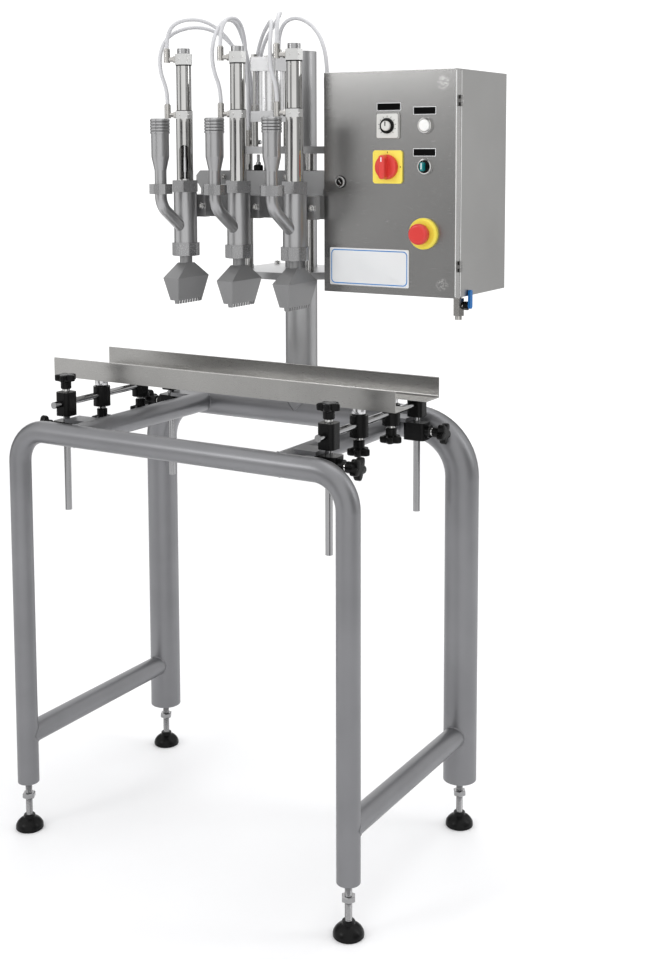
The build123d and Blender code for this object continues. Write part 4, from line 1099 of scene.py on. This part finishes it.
def dressPlate(s):
    doorSlab("nameplate", s["place"], s["slab"], "platePrint", "timer_face")
    doorSlab("nameplateBorder", s["place"], s["border"], "plateBorder", "blue_plastic")
    doorSlab("nameplateField", s["place"], s["field"], "platePrint", "timer_face")


dressLabels(labels)
dressPlate(nameplate)

# Timer face with its scale, and the dial

timer = {
    "place": (144.5, 327.5),
    "face": (48.8, 48.8, 3.2, 0.05, 5.22, 1.2),
    "mark": (0.9, 3.0, 0.4, 5.2, 5.27, 0.02),
    "marks": 11,
    "markFrom": 135,
    "markStep": -27,
    "markRadius": 18.2,
    "ring": [(15, 5.32), (15, 7.6), (14.2, 8.6), (10.6, 9.1), (10.2, 9.0), (9.8, 8.2)],
    "grip": [(9.4, 8.0), (9.4, 12.6), (8.2, 14.0), (3, 14.3)],
    "hand": (2.2, 8.6, 0.6, 14.0, 14.5, 0.1),
    "handUp": 3.8,
}


def dressTimer(s):
    place = onDoor(*s["place"])
    doorSlab("timerFace", s["place"], s["face"], "timerCase", "timer_face")
    for i in range(s["marks"]):
        name = "timerMark" + str(i + 1)
        turn = turned(s["markFrom"] + s["markStep"] * i, "Z")
        markPlace = place @ turn @ Matrix.Translation((0, s["markRadius"] * mm, 0))
        addPiece(name, roundedSlab(name, *s["mark"]), "blackMoulding", "door", markPlace)
    ring = addRings("timerRing", s["ring"], "blackMoulding", "timer_dial", place, 48)
    grip = addRings("timerGrip", s["grip"], "timerCase", "timer_dial", place, 40)
    handPlace = place @ Matrix.Translation((0, s["handUp"] * mm, 0))
    handMesh = roundedSlab("timerHand", *s["hand"])
    hand = addPiece("timerHand", handMesh, "blackMoulding", "timer_dial", handPlace)
    for piece in (ring, grip, hand):
        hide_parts("timer_dial")


dressTimer(timer)

# Bezel rings, main switch, lock and selector

mainSwitch = {
    "place": (144.5, 248.5),
    "hub": [(23.4, 4.35), (24, 5), (24, 10.6), (22.6, 13), (19.4, 14.2), (10, 14.4)],
    "hubSides": 56,
    "hubFinish": ("redMoulding", "red_plastic"),
    "grip": (13, 46, 6, 13.4, 30, 1.8),
    "gripFinish": ("redMoulding", "red_plastic"),
    "mark": (2.4, 9, 1.1, 29.9, 30.15, 0.05),
    "markUp": 14.5,
    "plateMarks": [(0, 28.2), (28.2, 0)],
    "plateMark": (1.5, 3.6, 0.6, 3.95, 4.07, 0.03),
}
selector = {
    "place": (224.5, 249.5),
    "hub": [(10.2, 1.35), (10.4, 2), (10.4, 7), (9.4, 8.2), (5, 8.4)],
    "hubSides": 40,
    "hubFinish": ("blackMoulding", "black_plastic"),
    "grip": (8, 17, 3.6, 8, 18.2, 1.2),
    "gripFinish": ("tealMoulding", "green_plastic"),
    "mark": (2.2, 12, 1.0, 18.1, 18.3, 0.05),
    "markUp": 1,
}
bezels = {
    "rings": [
        (14.6, 0.1), (15.4, 0.1), (15.4, 3.6), (14.4, 5.6),
        (12.4, 6.1), (11.7, 5.5), (11.7, 5.1), (14.6, 5.08),
    ],
    "places": {"lamp": (224.5, 327.5), "selector": selector["place"]},
}
lock = {
    "place": (37.5, 218.5),
    "gasketAndGapShade": [(11.3, 0.1), (12.9, 0.1), (12.9, 0.8), (12.3, 1.3), (11.3, 1.3)],
    "rim": [(7.4, 4.2), (10.4, 4.2), (10.4, 5.0), (9.8, 5.6), (8.0, 5.6), (7.4, 5.0)],
    "wellShade": [(7.5, 4.25), (7.5, 4.45)],
    "bit": (3.2, 9.0, 1.5, 4.4, 5.5, 0.4),
    "turn": 40,
}


def dressBezels(s):
    for kind, (u, v) in s["places"].items():
        addRings(kind + "Bezel", s["rings"], "polishedSteel", "door", onDoor(u, v), 40, True)


def dressTurnKnob(name, node, s):
    u, v = s["place"]
    hubFinish, hubSlot = s["hubFinish"]
    hub = addRings(name + "Hub", s["hub"], hubFinish, node, onDoor(u, v), s["hubSides"])
    grip = doorSlab(name + "Grip", (u, v), s["grip"], *s["gripFinish"], node)
    mark = doorSlab(name + "Mark", (u, v + s["markUp"]), s["mark"], "platePrint", "lamp_lens", node)
    for piece in (hub, grip, mark):
        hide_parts(node)


def markSwitchPlate(s):
    u, v = s["place"]
    for i, (du, dv) in enumerate(s["plateMarks"]):
        name = "switchPlateMark" + str(i + 1)
        doorSlab(name, (u + du, v + dv), s["plateMark"], "labelBlack", "black_plastic")


def dressLock(s):
    place = onDoor(*s["place"])
    addRings("lockRim", s["rim"], "polishedSteel", "door_lock", place, 40, True)
    # black disc in the lock's recess: painted shade
    addRings("lockWellShade", s["wellShade"], "blackMoulding", "door_lock", place, 40)
    bit = roundedSlab("lockBit", *s["bit"])
    addPiece("lockBit", bit, "polishedSteel", "door_lock", place @ turned(s["turn"], "Z"))


dressBezels(bezels)
dressTurnKnob("switch", "switch_knob", mainSwitch)
markSwitchPlate(mainSwitch)
lockPlace = onDoor(*lock["place"])
# black gasket ring round the lock, which also paints the shade in the gap round it
addRings("lockGasketAndGapShade", lock["gasketAndGapShade"], "blackRubber", "door", lockPlace, 40, True)
dressTurnKnob("selector", "selector_knob", selector)
dressLock(lock)

# Rounded edges of the door and the box, in a light tone: painted highlight lines along them

boxEdges = {
    "radius": 0.9,
    "short": 3.0,  # how far each edge stops before the corners
    "doorIn": 0.5,  # the door's edges lie this far inside its faces
    "shellOut": 0.3,
    "shellBack": 21.2,
}


def roundEdges(s):
    left, front, low = boxFront
    right = left + boxWidth
    top = low + boxHeight
    inside = s["doorIn"]
    runs = [  # name, body, length, place of its start
        ("doorEdge", "door", boxHeight, at(right - inside, front + inside, low)),
        ("boxEdge", "stand", boxHeight, at(right + s["shellOut"], front + s["shellBack"], low)),
        ("doorTopEdge", "door", boxWidth, at(left, front + inside, top - inside, alongX)),
    ]
    for name, body, length, place in runs:
        rings = [(s["radius"], s["short"]), (s["radius"], length - s["short"])]
        addRings(name, rings, "edgeHighlightPaint", body, place, 12)


roundEdges(boxEdges)
print("door dressed")

# Floor

floorHalf = 3.6
floorMesh = bpy.data.meshes.new("floor")
floorCorners = [(-1, -1), (1, -1), (1, 1), (-1, 1)]
floorMesh.from_pydata([(x * floorHalf, y * floorHalf, 0) for x, y in floorCorners], [], [(0, 1, 2, 3)])
floorMesh.materials.append(materials["studioFloor"])
floor = bpy.data.objects.new("floor", floorMesh)
bpy.context.collection.objects.link(floor)

print("pieces placed")
